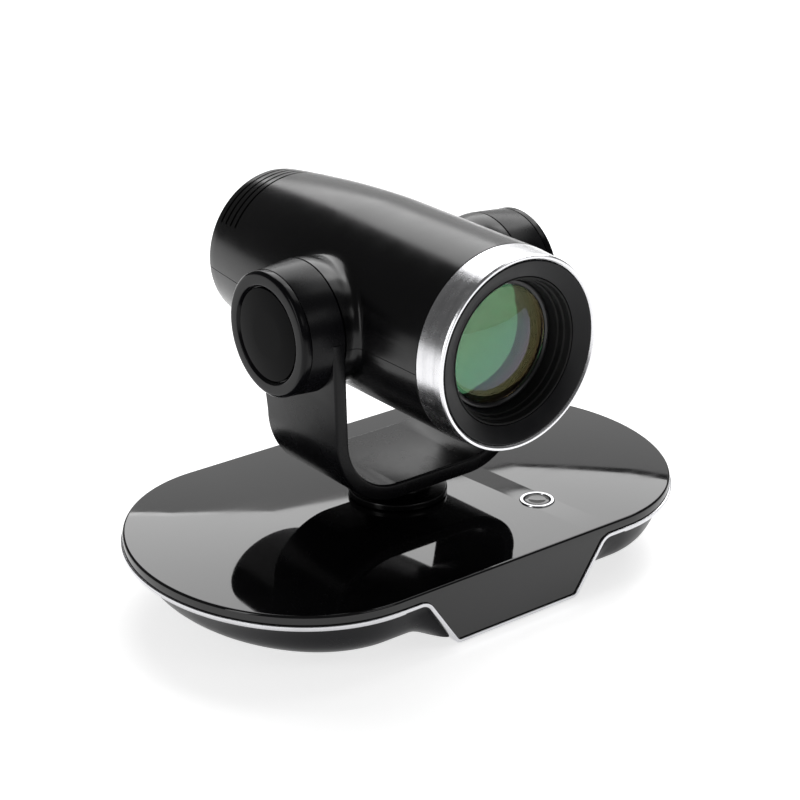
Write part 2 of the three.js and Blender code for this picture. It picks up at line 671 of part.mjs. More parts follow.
function buildTiltDrive() {
  for (const [side, name] of [[-1, 'left'], [1, 'right']]) {
    const race = tube(TILT_BEARING_RADIUS, TILT_SHAFT_RADIUS + RUN, hubStart, hubStart + TILT_BEARING_WIDTH);
    const bearing = turnedOut(race, side);
    place(head, `tilt_bearing_${name}`, bearing, finish.steel);
    const shaft = turnedOut(rod(TILT_SHAFT_RADIUS, hubStart - 12, shaftTip), side);
    place(head, `tilt_shaft_${name}`, shaft, finish.steel);
  }
  const gear = gearAcrossX(gearShape(TILT_TEETH, TILT_MODULE, 0), tiltGearOut, tiltGearOut + tiltGearThick);
  const bore = turnedOut(rod(TILT_SHAFT_RADIUS + CLEAR, 0, 80), 1);
  place(head, 'tilt_gear', cut(toSolid(gear), bore), finish.nylon);
  const low = tiltGearOut - 0.4;
  const high = tiltGearOut + tiltGearThick + 0.4;
  const phase = Math.PI + Math.PI / PINION_TEETH;
  const teeth = gearAcrossX(gearShape(PINION_TEETH, TILT_MODULE, phase), low, high);
  const pinion = join(teeth, turnedOut(rod(1, low, high + 3), 1, SMALL_ROUND));
  place(head, 'tilt_pinion', pinion.translate([0, 0, tiltGap]), finish.brass);
  const motor = cut(
    toSolid(turnedOut(rod(5.5, high + 0.6, HUB_END - CAP_LENGTH - RUN), 1, SMALL_ROUND)),
    turnedOut(rod(1 + RUN, high, high + 3.6), 1, SMALL_ROUND),
  );
  place(head, 'tilt_motor', motor.translate([0, 0, tiltGap]), finish.steel);
}

// ---------------------------------------------------------------- head: shells
const headTaper = HEAD_RADIUS - HEAD_REAR_RADIUS;

// The barrel's outer radius at a distance ahead of the tilt axis.
function barrelRadius(ahead) {
  const behind = Math.max(-TAPER_START - ahead, 0) / (HEAD_BACK - TAPER_START);
  return HEAD_RADIUS - headTaper * Math.pow(behind, TAPER_POWER);
}

const shellFront = HEAD_FRONT - RING_LENGTH - CLEAR;

function barrelProfile(inset, back, front) {
  const steps = 5;
  const profile = [[0, -back]];
  for (let i = 0; i <= steps; i += 1) {
    const ahead = THREE.MathUtils.lerp(-back, -TAPER_START, i / steps);
    profile.push([barrelRadius(ahead) - inset, ahead]);
  }
  profile.push([HEAD_RADIUS - inset, front], [0, front]);
  return profile;
}

const flangeEnd = hubStart - RUN;

// A side flange: a round boss that flares where it runs into the barrel.
function flangeSolid(side) {
  const boss = turnedOut(rod(HUB_RADIUS, 18, flangeEnd), side);
  const root = HEAD_RADIUS - 1.5;
  const profile = [
    [0, root - 1], [HUB_RADIUS + FLARE, root], [HUB_RADIUS + FLARE / 4, root + 3],
    [HUB_RADIUS, flangeEnd - 1], [0, flangeEnd - 1],
  ];
  const flare = turnedOut(profile, side);
  flare.scale(1, 1, FLARE_SQUEEZE);
  return toSolid(boss).add(toSolid(flare));
}

function buildHeadShells() {
  let body = toSolid(turnedAhead(barrelProfile(0, HEAD_BACK, shellFront)));
  let room = toSolid(turnedAhead(barrelProfile(HEAD_WALL, HEAD_BACK - 2, shellFront + 1)));
  for (const side of [-1, 1]) {
    body = body.add(flangeSolid(side));
    room = room.add(toSolid(turnedOut(rod(HUB_RADIUS - HEAD_WALL, 0, flangeEnd - HEAD_WALL), side)));
  }
  let shell = body.subtract(room);
  const rearRoom = turnedAhead(rod(HEAD_REAR_RADIUS - 3, -HEAD_BACK - 1, -HEAD_BACK + 3));
  shell = cut(shell, rearRoom);
  for (const side of [-1, 1]) {
    shell = cut(shell, turnedOut(rod(TILT_SHAFT_RADIUS + CLEAR, 0, 80), side, SMALL_ROUND));
  }
  const above = toSolid(block(300, 300, 200, 0, 0, 100 - SEAM_DROP + CLEAR / 2));
  const below = toSolid(block(300, 300, 200, 0, 0, -100 - SEAM_DROP - CLEAR / 2));
  place(head, 'head_upper_shell', shell.intersect(above), finish.satinBlack);
  place(head, 'head_lower_shell', shell.intersect(below), finish.satinBlack);
  const coverRadius = HEAD_REAR_RADIUS - 3 - CLEAR;
  const cover = [
    [0, -HEAD_BACK], [coverRadius - 2, -HEAD_BACK], [coverRadius, -HEAD_BACK + 1],
    [coverRadius, -HEAD_BACK + 2 - 0.1], [0, -HEAD_BACK + 2 - 0.1],
  ];
  place(head, 'rear_cover', turnedAhead(cover), finish.satinGrey);
}

// ---------------------------------------------------------------- head: front
const ringBack = HEAD_FRONT - RING_LENGTH;
const openingAt = HEAD_FRONT - BEZEL_DEPTH;
const retainerAt = openingAt - LENS_BACKSET;

function buildHeadFront() {
  const ringInner = BEZEL_RADIUS + CLEAR;
  const ring = [
    [ringInner, ringBack], [HEAD_RADIUS, ringBack], [RING_FRONT_RADIUS + 0.5, HEAD_FRONT - 1],
    [RING_FRONT_RADIUS, HEAD_FRONT], [ringInner + 0.6, HEAD_FRONT], [ringInner, HEAD_FRONT - 0.6],
    [ringInner, ringBack],
  ];
  place(head, 'front_ring', turnedAhead(ring), finish.aluminium);
  const bezel = [
    [BEZEL_RADIUS, ringBack], [BEZEL_RADIUS, HEAD_FRONT - 0.4], [BEZEL_OPENING, openingAt],
    [BEZEL_OPENING, openingAt - 2], [BEZEL_RADIUS - 2, HEAD_FRONT - 3], [BEZEL_RADIUS - 2, ringBack],
    [BEZEL_RADIUS, ringBack],
  ];
  place(head, 'bezel', turnedAhead(bezel), finish.satinGrey);
  const mouth = BEZEL_OPENING - CLEAR;
  const baffle = [
    [BEZEL_OPENING + 2, openingAt - 5.5], [mouth, openingAt - 5.5], [mouth, openingAt],
    [mouth - 0.8, openingAt - 0.4], [mouth - 2.2, openingAt - 3], [mouth - 2.2, openingAt - 6],
    [LENS_RADIUS + 2.4, retainerAt - 0.2], [LENS_RADIUS + 2.4, retainerAt - 8],
    [BEZEL_OPENING + 2, retainerAt - 8], [BEZEL_OPENING + 2, openingAt - 5.5],
  ];
  place(head, 'baffle', turnedAhead(baffle), finish.matteBlack);
}

// The front lens: a dome in front, a shallow hollow behind.
function buildFrontLens() {
  const rim = retainerAt - 0.8;
  const centre = rim - Math.sqrt(LENS_CURVE ** 2 - LENS_RADIUS ** 2);
  const steps = 4;
  const profile = [[0, rim - 5], [LENS_RADIUS - 5, rim - 6], [LENS_RADIUS, rim - 6]];
  for (let i = 0; i <= steps; i += 1) {
    const radius = LENS_RADIUS * (1 - i / steps);
    profile.push([radius, centre + Math.sqrt(LENS_CURVE ** 2 - radius ** 2)]);
  }
  place(head, 'front_lens', turnedAhead(profile), finish.lensGlass);
  const outer = LENS_RADIUS + 2.4 - CLEAR;
  const retainer = [
    [LENS_RADIUS + CLEAR, retainerAt - 6.5], [outer, retainerAt - 6.5], [outer, retainerAt],
    [LENS_RADIUS + CLEAR + 0.6, retainerAt], [LENS_RADIUS + CLEAR, retainerAt - 0.6],
    [LENS_RADIUS + CLEAR, retainerAt - 6.5],
  ];
  place(head, 'lens_retaining_ring', turnedAhead(retainer), finish.satinGrey);
}

// ---------------------------------------------------------------- head: lens block
const barrelFront = retainerAt - 8 - CLEAR;
const barrelInner = BARREL_OUTER - BARREL_WALL;

function buildLensBarrel() {
  const barrel = turnedAhead(tube(BARREL_OUTER, barrelInner, -BARREL_BACK, barrelFront));
  place(head, 'lens_barrel', barrel, finish.matteBlack);
  for (const [side, name] of [[-1, 'left'], [1, 'right']]) {
    const guide = turnedAhead(rod(ROD_RADIUS, 1 - BARREL_BACK, barrelFront - 4), 12);
    place(head, `guide_rod_${name}`, guide.translate(side * ROD_REACH, 0, 0), finish.steel);
  }
  const saddleInner = BARREL_OUTER + CLEAR;
  const saddle = toSolid(turnedAhead(tube(saddleInner + 3, saddleInner, -14, 14)));
  let chassis = saddle;
  for (const side of [-1, 1]) {
    const wing = block(6, 20, 16, side * (saddleInner + 5), 0, 0);
    chassis = chassis.add(toSolid(wing));
  }
  chassis = cut(chassis, turnedAhead(rod(saddleInner, -15, 15)));
  const shaftRoom = [-1, 1].map((side) => turnedOut(rod(TILT_SHAFT_RADIUS + CLEAR, hubStart - 13, 80), side));
  place(head, 'lens_chassis', cut(chassis, ...shaftRoom), finish.aluminium);
}

// A sliding lens group: a carriage on the two rods and the lens in it.
function buildSlidingGroup(name, ahead, lensRadius) {
  const half = 4;
  const carriage = cut(
    toSolid(turnedAhead(rod(barrelInner - RUN, ahead - half, ahead + half))),
    turnedAhead(rod(lensRadius + CLEAR, ahead - half - 1, ahead + half + 1)),
    ...[-1, 1].map((side) => {
      const hole = turnedAhead(rod(ROD_RADIUS + RUN, ahead - half - 1, ahead + half + 1), 12);
      return hole.translate(side * ROD_REACH, 0, 0);
    }),
  );
  place(head, `${name}_carriage`, carriage, finish.matteBlack);
  const lens = [
    [0, ahead - 3], [lensRadius, ahead - 2], [lensRadius, ahead + 2],
    [lensRadius * 0.7, ahead + 3.2], [lensRadius * 0.35, ahead + 3.8], [0, ahead + 4],
  ];
  place(head, `${name}_lens`, turnedAhead(lens), finish.lensGlass);
}

function buildSensor() {
  const y = BARREL_BACK + 1;
  const body = join(block(36, 1.6, 36, 0, y + 3, 0), block(16, 2.4, 13, 0, y + 1.2, 0));
  place(head, 'image_sensor_board', body, finish.board);
  const video = block(50, 1.6, 40, 0, y + 20, 0);
  place(head, 'video_board', video, finish.board);
}

buildTopCover();
buildTrimStrip();
buildFrontPanel();
buildLowerShell();
buildBasePlate();
buildTripodBush();
buildFeet();
buildMainBoard();
buildWindowParts();
buildSockets();
buildSocketPlate();
buildButton();
buildPanDrive();
buildPanColumn();
buildYoke();
buildHubHousings();
buildHubCaps();
buildTiltDrive();
buildHeadShells();
buildHeadFront();
buildFrontLens();
buildLensBarrel();
buildSlidingGroup('zoom', 24, 15);
buildSlidingGroup('focus', -20, 11);
buildSensor();

export default camera;
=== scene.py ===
"""Dresses a pan-tilt-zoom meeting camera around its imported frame. Everything is in metres."""
import logging
import math
from dataclasses import dataclass
from enum import Enum
from typing import Callable, Sequence

import bmesh
import bpy
from mathutils import Matrix, Vector


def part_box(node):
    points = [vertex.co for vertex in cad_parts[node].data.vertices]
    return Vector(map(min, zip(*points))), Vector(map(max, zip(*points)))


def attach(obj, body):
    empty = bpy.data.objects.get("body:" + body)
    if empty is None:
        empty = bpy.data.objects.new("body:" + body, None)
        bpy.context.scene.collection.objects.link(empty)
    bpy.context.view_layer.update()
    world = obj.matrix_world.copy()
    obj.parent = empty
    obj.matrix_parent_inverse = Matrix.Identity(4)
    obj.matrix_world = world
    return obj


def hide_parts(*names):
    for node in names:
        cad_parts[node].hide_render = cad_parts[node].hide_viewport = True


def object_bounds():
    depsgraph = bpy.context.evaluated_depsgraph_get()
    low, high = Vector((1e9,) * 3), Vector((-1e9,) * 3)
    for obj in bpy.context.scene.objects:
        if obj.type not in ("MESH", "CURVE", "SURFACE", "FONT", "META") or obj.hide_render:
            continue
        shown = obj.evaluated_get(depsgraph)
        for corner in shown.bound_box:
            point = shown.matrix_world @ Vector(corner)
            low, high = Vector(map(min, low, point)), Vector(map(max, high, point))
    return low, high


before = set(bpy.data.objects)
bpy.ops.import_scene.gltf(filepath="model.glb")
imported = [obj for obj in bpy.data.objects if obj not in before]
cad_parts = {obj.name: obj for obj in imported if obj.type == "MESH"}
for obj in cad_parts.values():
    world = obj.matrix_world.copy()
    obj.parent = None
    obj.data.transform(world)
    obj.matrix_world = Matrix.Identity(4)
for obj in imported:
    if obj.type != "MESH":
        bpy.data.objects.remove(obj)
CAD_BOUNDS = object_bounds()

log = logging.getLogger("camera")

Colour = tuple[float, float, float]
Point2 = tuple[float, float]
Corner = tuple[float, float, float]

AHEAD = Vector((0.0, -1.0, 0.0))
UP = Vector((0.0, 0.0, 1.0))
RIGHT = Vector((1.0, 0.0, 0.0))
ROUND_STEPS = 128
SMALL_STEPS = 64
GAP = 0.0003
SHADE_ANGLE = math.radians(32)


class Side(Enum):
    """The two sides of the camera, seen from behind the lens."""

    LEFT = -1
    RIGHT = 1


class Cut(Enum):
    """What a tool body does to a piece."""

    AWAY = "DIFFERENCE"
    JOIN = "UNION"
    KEEP = "INTERSECT"


@dataclass(frozen=True)
class Extent:
    """The box of one or more frame nodes."""

    low: Vector
    high: Vector

    @classmethod
    def of(cls, *nodes: str) -> "Extent":
        """Measures the frame.

        Args:
            nodes: the frame nodes to take in.

        Returns:
            The box round all of them.
        """
        boxes = [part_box(node) for node in nodes]
        low = Vector([min(box[0][axis] for box in boxes) for axis in range(3)])
        high = Vector([max(box[1][axis] for box in boxes) for axis in range(3)])
        return cls(low, high)

    @property
    def centre(self) -> Vector:
        """The middle of the box."""
        return (self.low + self.high) / 2

    @property
    def size(self) -> Vector:
        """The box's size along each axis."""
        return self.high - self.low


# ---------------------------------------------------------------- shapes
class Trail:
    """A flat outline drawn by going ahead and turning."""

    def __init__(self, start: Point2, heading: float, offset: float = 0.0, arc_step: float = math.radians(6)):
        """Starts the trail.

        Args:
            start: where the centre line starts.
            heading: the first direction, in radians from the first axis.
            offset: how far to the left of the centre line this trail runs.
            arc_step: the largest angle between two points of a turn.
        """
        self.heading = heading
        self.offset = offset
        self.arc_step = arc_step
        self.x = start[0] - offset * math.sin(heading)
        self.y = start[1] + offset * math.cos(heading)
        self.points: list[Point2] = [(self.x, self.y)]

    def ahead(self, length: float) -> "Trail":
        """Goes straight on.

        Args:
            length: how far.

        Returns:
            The trail itself.
        """
        self.x += length * math.cos(self.heading)
        self.y += length * math.sin(self.heading)
        self.points.append((self.x, self.y))
        return self

    def turn(self, angle: float, radius: float) -> "Trail":
        """Goes round a bend.

        Args:
            angle: the turn, to the left when positive.
            radius: the radius of the centre line.

        Returns:
            The trail itself.
        """
        way = math.copysign(1.0, angle)
        reach = radius - way * self.offset
        centre_x = self.x - way * reach * math.sin(self.heading)
        centre_y = self.y + way * reach * math.cos(self.heading)
        steps = max(2, math.ceil(abs(angle) / self.arc_step))
        first = self.heading
        for step in range(1, steps + 1):
            self.heading = first + angle * step / steps
            self.x = centre_x + way * reach * math.sin(self.heading)
            self.y = centre_y - way * reach * math.cos(self.heading)
            self.points.append((self.x, self.y))
        return self


def softened(corners: Sequence[Corner], closed: bool = False, steps: int = 5) -> list[Point2]:
    """Rounds the corners of an outline.

    Args:
        corners: each corner's two coordinates and the radius of its rounding, 0 for a sharp one.
        closed: whether the last corner runs back to the first.
        steps: how many edges a rounding has.

    Returns:
        The outline's points.
    """
    points: list[Point2] = []
    count = len(corners)
    for index, (x, y, radius) in enumerate(corners):
        here = Vector((x, y))
        if radius <= 0 or (not closed and index in (0, count - 1)):
            points.append((x, y))
            continue
        before = Vector(corners[index - 1][:2]) - here
        after = Vector(corners[(index + 1) % count][:2]) - here
        half = before.angle(after) / 2
        reach = min(radius / math.tan(half), before.length * 0.49, after.length * 0.49)
        start = here + before.normalized() * reach
        end = here + after.normalized() * reach
        centre = here + (before.normalized() + after.normalized()).normalized() * (reach / math.cos(half))
        arm_start, arm_end = start - centre, end - centre
        sweep = arm_start.angle_signed(arm_end)
        for step in range(steps + 1):
            turned_arm = arm_start.copy()
            turned_arm.rotate(Matrix.Rotation(-sweep * step / steps, 2))
            points.append(tuple(centre + turned_arm))
    return points


def finished(mesh_maker: bmesh.types.BMesh, name: str, smooth: bool = True) -> bpy.types.Object:
    """Turns a bmesh into a piece in the scene.

    Args:
        mesh_maker: the bmesh, which is freed.
        name: the piece's name.
        smooth: whether gentle edges are shaded smooth.

    Returns:
        The new object, at the origin.
    """
    bmesh.ops.remove_doubles(mesh_maker, verts=mesh_maker.verts, dist=1e-6)
    bmesh.ops.recalc_face_normals(mesh_maker, faces=mesh_maker.faces)
    mesh = bpy.data.meshes.new(name)
    mesh_maker.to_mesh(mesh)
    mesh_maker.free()
    if smooth:
        shade(mesh)
    piece = bpy.data.objects.new(name, mesh)
    bpy.context.scene.collection.objects.link(piece)
    return piece


def shade(mesh: bpy.types.Mesh, angle: float = SHADE_ANGLE) -> None:
    """Shades a mesh smooth, with its edges past an angle kept sharp.

    Args:
        mesh: the mesh.
        angle: the angle.
    """
    mesh.shade_smooth()
    mesh.set_sharp_from_angle(angle=angle)


def turned(
    name: str,
    outline: Sequence[Point2],
    axis: Vector,
    centre: Vector,
    closed: bool = False,
    steps: int = ROUND_STEPS,
    angle: float = 2 * math.pi,
    from_angle: float = 0.0,
) -> bpy.types.Object:
    """Spins an outline about an axis.

    Args:
        name: the piece's name.
        outline: points of radius and distance along the axis.
        axis: the axis' direction.
        centre: a point on the axis, where the distances start.
        closed: whether the outline runs back to its first point.
        steps: how many steps a full turn has.
        angle: how far the outline turns.
        from_angle: where the turn starts.

    Returns:
        The turned piece.
    """
    maker = bmesh.new()
    reference = UP if abs(axis.z) < 0.5 else RIGHT
    radial = (reference - axis * reference.dot(axis)).normalized()
    radial.rotate(Matrix.Rotation(from_angle, 3, axis))
    corners = [maker.verts.new(centre + radial * radius + axis * along) for radius, along in outline]
    edges = [maker.edges.new(pair) for pair in zip(corners, corners[1:])]
    full = angle >= 2 * math.pi - 1e-6
    geometry: list = corners + edges
    if closed:
        geometry.append(maker.edges.new((corners[-1], corners[0])))
    if not full:
        geometry.append(maker.faces.new(corners))
    bmesh.ops.spin(
        maker, geom=geometry, cent=centre, axis=axis, angle=angle, steps=steps, use_merge=full,
        use_duplicate=False,
    )
    return finished(maker, name)


def slab(
    name: str, outline: Sequence[Point2], low: float, high: float, edge: float = 0.0
) -> bpy.types.Object:
    """Extrudes an outline in X and Z along Y.

    Args:
        name: the piece's name.
        outline: the outline's points.
        low: the slab's front, in Y.
        high: the slab's back, in Y.
        edge: the rounding of its front edges.

    Returns:
        The slab.
    """
    maker = bmesh.new()
    face = maker.faces.new([maker.verts.new((x, low, z)) for x, z in outline])
    grown = bmesh.ops.extrude_face_region(maker, geom=[face])
    fresh = [item for item in grown["geom"] if isinstance(item, bmesh.types.BMVert)]
    bmesh.ops.translate(maker, verts=fresh, vec=(0, high - low, 0))
    if edge > 0:
        rim = [item for item in maker.edges if all(abs(vert.co.y - low) < 1e-7 for vert in item.verts)]
        bmesh.ops.bevel(
            maker, geom=rim, offset=edge, affect="EDGES", segments=3, profile=0.5, material=-1,
        )
    return finished(maker, name)


def brick(name: str, low: Sequence[float], high: Sequence[float]) -> bpy.types.Object:
    """Makes a block, used as a cutting tool.

    Args:
        name: its name.
        low: its lowest corner.
        high: its highest corner.

    Returns:
        The block.
    """
    maker = bmesh.new()
    size = Vector(high) - Vector(low)
    place = Matrix.Translation((Vector(high) + Vector(low)) / 2) @ Matrix.Diagonal((*size, 1.0))
    bmesh.ops.create_cube(maker, size=1.0, matrix=place)
    return finished(maker, name, smooth=False)


def carve(piece: bpy.types.Object, tool: bpy.types.Object, cut: Cut) -> bpy.types.Object:
    """Cuts a piece with a tool body, joins them or keeps what they share. The tool is used up.

    Args:
        piece: the piece to change.
        tool: the other body.
        cut: what to do.

    Returns:
        The piece.
    """
    modifier = piece.modifiers.new("carve", "BOOLEAN")
    modifier.object = tool
    modifier.operation = cut.value
    modifier.solver = "EXACT"
    return settle(piece, tool)


def settle(piece: bpy.types.Object, *used_up: bpy.types.Object) -> bpy.types.Object:
    """Makes a piece's modifiers part of its mesh.

    Args:
        piece: the piece.
        used_up: objects to remove afterwards.

    Returns:
        The piece.
    """
    bpy.context.view_layer.update()
    evaluated = piece.evaluated_get(bpy.context.evaluated_depsgraph_get())
    mesh = bpy.data.meshes.new_from_object(evaluated)
    old = piece.data
    piece.modifiers.clear()
    piece.data = mesh
    mesh.name = piece.name
    bpy.data.meshes.remove(old)
    for item in used_up:
        bpy.data.objects.remove(item, do_unlink=True)
    shade(piece.data)
    return piece


def drill(
    piece: bpy.types.Object, at: Vector, radius: float, low: float, high: float, steps: int = ROUND_STEPS
) -> None:
    """Drills an upright hole.

    Args:
        piece: the piece.
        at: the hole's middle, seen from above.
        radius: its radius.
        low: its lower end.
        high: its upper end.
        steps: how many steps its round has.
    """
    outline = [(0.0, low), (radius, low), (radius, high), (0.0, high)]
    centre = Vector((at.x, at.y, 0.0))
    carve(piece, turned("drill", outline, UP, centre, steps=steps), Cut.AWAY)


# ---------------------------------------------------------------- finishes
class Shader:
    """A material whose nodes are added with short calls."""

    def __init__(self, name: str) -> None:
        """Starts a material with one Principled shader.

        Args:
            name: the material's name.
        """
        self.material = bpy.data.materials.new(name)
        self.material.use_nodes = True
        self.tree = self.material.node_tree
        self.surface = self.tree.nodes["Principled BSDF"]

    def set(self, **values: float | Sequence[float]) -> None:
        """Sets constants on the shader's own sockets, with underscores for spaces in their names."""
        for name, value in values.items():
            self.surface.inputs[name.replace("_", " ")].default_value = value

    def node(self, kind: str, **settings: object) -> bpy.types.Node:
        """Adds a node.

        Args:
            kind: the node's type.
            settings: its properties.

        Returns:
            The node.
        """
        fresh = self.tree.nodes.new(kind)
        for name, value in settings.items():
            setattr(fresh, name, value)
        return fresh

    def link(self, source: bpy.types.NodeSocket, target: bpy.types.NodeSocket) -> None:
        """Joins two sockets."""
        self.tree.links.new(source, target)

    def place(self, centre: Vector = Vector(), stretch: Sequence[float] = (1, 1, 1)) -> bpy.types.NodeSocket:
        """Gives object coordinates, centred and stretched.

        Args:
            centre: the pattern's middle.
            stretch: the pattern's scale along each axis.

        Returns:
            The coordinate socket.
        """
        source = self.node("ShaderNodeTexCoord")
        mapping = self.node("ShaderNodeMapping", vector_type="POINT")
        mapping.inputs["Location"].default_value = [-c * s for c, s in zip(centre, stretch)]
        mapping.inputs["Scale"].default_value = stretch
        self.link(source.outputs["Object"], mapping.inputs["Vector"])
        return mapping.outputs["Vector"]

    def noise(
        self, place: bpy.types.NodeSocket, scale: float, detail: float = 3.0, rough: float = 0.55
    ) -> bpy.types.NodeSocket:
        """Adds a noise pattern.

        Args:
            place: the coordinates.
            scale: how many waves a metre has.
            detail: how many finer layers it has.
            rough: how strong those are.

        Returns:
            The pattern's height socket.
        """
        texture = self.node("ShaderNodeTexNoise")
        texture.inputs["Scale"].default_value = scale
        texture.inputs["Detail"].default_value = detail
        texture.inputs["Roughness"].default_value = rough
        self.link(place, texture.inputs["Vector"])
        return texture.outputs["Fac"]

    def spread(
        self,
        source: bpy.types.NodeSocket,
        low: float,
        high: float,
        from_low: float = 0.3,
        from_high: float = 0.7,
    ) -> bpy.types.NodeSocket:
        """Maps a pattern onto a range.

        Args:
            source: the pattern.
            low: the new lowest value.
            high: the new highest value.
            from_low: the pattern's low end.
            from_high: the pattern's high end.

        Returns:
            The mapped socket.
        """
        mapper = self.node("ShaderNodeMapRange")
        mapper.inputs["From Min"].default_value = from_low
        mapper.inputs["From Max"].default_value = from_high
        mapper.inputs["To Min"].default_value = low
        mapper.inputs["To Max"].default_value = high
        self.link(source, mapper.inputs["Value"])
        return mapper.outputs["Result"]

    def shades(
        self, source: bpy.types.NodeSocket, stops: Sequence[tuple[float, Colour]]
    ) -> bpy.types.NodeSocket:
        """Colours a pattern with a ramp.

        Args:
            source: the pattern.
            stops: places on the ramp and their colours.

        Returns:
            The colour socket.
        """
        ramp = self.node("ShaderNodeValToRGB")
        elements = ramp.color_ramp.elements
        while len(elements) < len(stops):
            elements.new(0.5)
        for element, (position, colour) in zip(elements, stops):
            element.position = position
            element.color = (*colour, 1.0)
        self.link(source, ramp.inputs["Fac"])
        return ramp.outputs["Color"]

    def relief(self, height: bpy.types.NodeSocket, depth: float, strength: float = 1.0) -> None:
        """Bumps the surface, on top of any earlier bump.

        Args:
            height: the pattern.
            depth: how deep the pattern is, in metres.
            strength: how much of it shows.
        """
        bump = self.node("ShaderNodeBump")
        bump.inputs["Strength"].default_value = strength
        bump.inputs["Distance"].default_value = depth
        self.link(height, bump.inputs["Height"])
        socket = self.surface.inputs["Normal"]
        if socket.links:
            self.link(socket.links[0].from_socket, bump.inputs["Normal"])
        self.link(bump.outputs["Normal"], socket)

    def radius_about(self, axis: int, place: bpy.types.NodeSocket) -> bpy.types.NodeSocket:
        """Gives the distance from an axis through the pattern's middle.

        Args:
            axis: the axis' number.
            place: centred coordinates.

        Returns:
            The distance socket.
        """
        flat = self.node("ShaderNodeVectorMath", operation="MULTIPLY")
        flat.inputs[1].default_value = [0.0 if index == axis else 1.0 for index in range(3)]
        length = self.node("ShaderNodeVectorMath", operation="LENGTH")
        self.link(place, flat.inputs[0])
        self.link(flat.outputs["Vector"], length.inputs[0])
        return length.outputs["Value"]


def toned(colour: Colour, factor: float) -> Colour:
    """Gives a lighter or darker tone of a colour."""
    return tuple(min(1.0, channel * factor) for channel in colour)


@dataclass(frozen=True)
class Moulded:
    """Moulded or painted plastic with a fine grain and uneven gloss."""

    colour: Colour
    roughness: float
    uneven: float = 0.04
    grain: float = 2600.0
    grain_depth: float = 6e-6
    specular: float = 0.4

    def made(self, name: str) -> bpy.types.Material:
        """Builds the material under a name."""
        shader = Shader(name)
        shader.set(Specular_IOR_Level=self.specular)
        place = shader.place()
        cloud = shader.noise(place, 28.0)
        tones = [(0.3, toned(self.colour, 0.82)), (0.7, toned(self.colour, 1.18))]
        shader.link(shader.shades(cloud, tones), shader.surface.inputs["Base Color"])
        gloss = shader.noise(place, 90.0, 5.0)
        low, high = self.roughness - self.uneven, self.roughness + self.uneven
        shader.link(shader.spread(gloss, low, high), shader.surface.inputs["Roughness"])
        shader.relief(shader.noise(place, self.grain, 2.0), self.grain_depth)
        return shader.material


@dataclass(frozen=True)
class Polished:
    """Piano-black plastic: near-black under a clear mirror-like surface, with faint wiping marks."""

    colour: Colour
    roughness: float = 0.035
    specular: float = 0.5

    def made(self, name: str) -> bpy.types.Material:
        """Builds the material under a name."""
        shader = Shader(name)
        shader.set(Specular_IOR_Level=self.specular)
        place = shader.place()
        tones = [(0.35, toned(self.colour, 0.8)), (0.65, toned(self.colour, 1.25))]
        shader.link(shader.shades(shader.noise(place, 40.0), tones), shader.surface.inputs["Base Color"])
        wiped = shader.noise(shader.place(stretch=(1.0, 7.0, 1.0)), 14.0, 4.0)
        gloss = shader.spread(wiped, self.roughness * 0.6, self.roughness * 1.5)
        shader.link(gloss, shader.surface.inputs["Roughness"])
        shader.relief(shader.noise(place, 22.0, 1.0), 1.2e-5, 0.6)
        return shader.material


@dataclass(frozen=True)
class TurnedMetal:
    """Metal turned on a lathe: fine marks run round one axis."""

    colour: Colour
    axis: int
    centre: Vector
    roughness: float = 0.24
    marks: float = 2600.0
    depth: float = 1.4e-5

    def made(self, name: str) -> bpy.types.Material:
        """Builds the material under a name."""
        shader = Shader(name)
        shader.set(Metallic=1.0)
        place = shader.place(self.centre)
        radius = shader.radius_about(self.axis, place)
        split = shader.node("ShaderNodeSeparateXYZ")
        shader.link(place, split.inputs["Vector"])
        joined = shader.node("ShaderNodeCombineXYZ")
        shader.link(radius, joined.inputs["X"])
        shader.link(split.outputs[self.axis], joined.inputs["Y"])
        marks = shader.noise(joined.outputs["Vector"], self.marks, 3.0, 0.7)
        broad = shader.noise(joined.outputs["Vector"], self.marks / 12, 2.0)
        scuffs = shader.noise(place, 160.0, 6.0, 0.65)
        tones = [(0.3, toned(self.colour, 0.8)), (0.7, toned(self.colour, 1.06))]
        shader.link(shader.shades(broad, tones), shader.surface.inputs["Base Color"])
        gloss = shader.spread(scuffs, self.roughness * 0.75, self.roughness * 1.35)
        shader.link(gloss, shader.surface.inputs["Roughness"])
        shader.relief(marks, self.depth)
        return shader.material


@dataclass(frozen=True)
class PlainMetal:
    """Plated, cast or milled metal."""

    colour: Colour
    roughness: float
    grain: float = 900.0
    grain_depth: float = 4e-6

    def made(self, name: str) -> bpy.types.Material:
        """Builds the material under a name."""
        shader = Shader(name)
        shader.set(Metallic=1.0)
        place = shader.place()
        cloud = shader.noise(place, 60.0, 4.0)
        tones = [(0.3, toned(self.colour, 0.88)), (0.7, toned(self.colour, 1.05))]
        shader.link(shader.shades(cloud, tones), shader.surface.inputs["Base Color"])
        gloss = shader.spread(cloud, self.roughness * 0.8, self.roughness * 1.25)
        shader.link(gloss, shader.surface.inputs["Roughness"])
        shader.relief(shader.noise(place, self.grain, 3.0), self.grain_depth)
        return shader.material


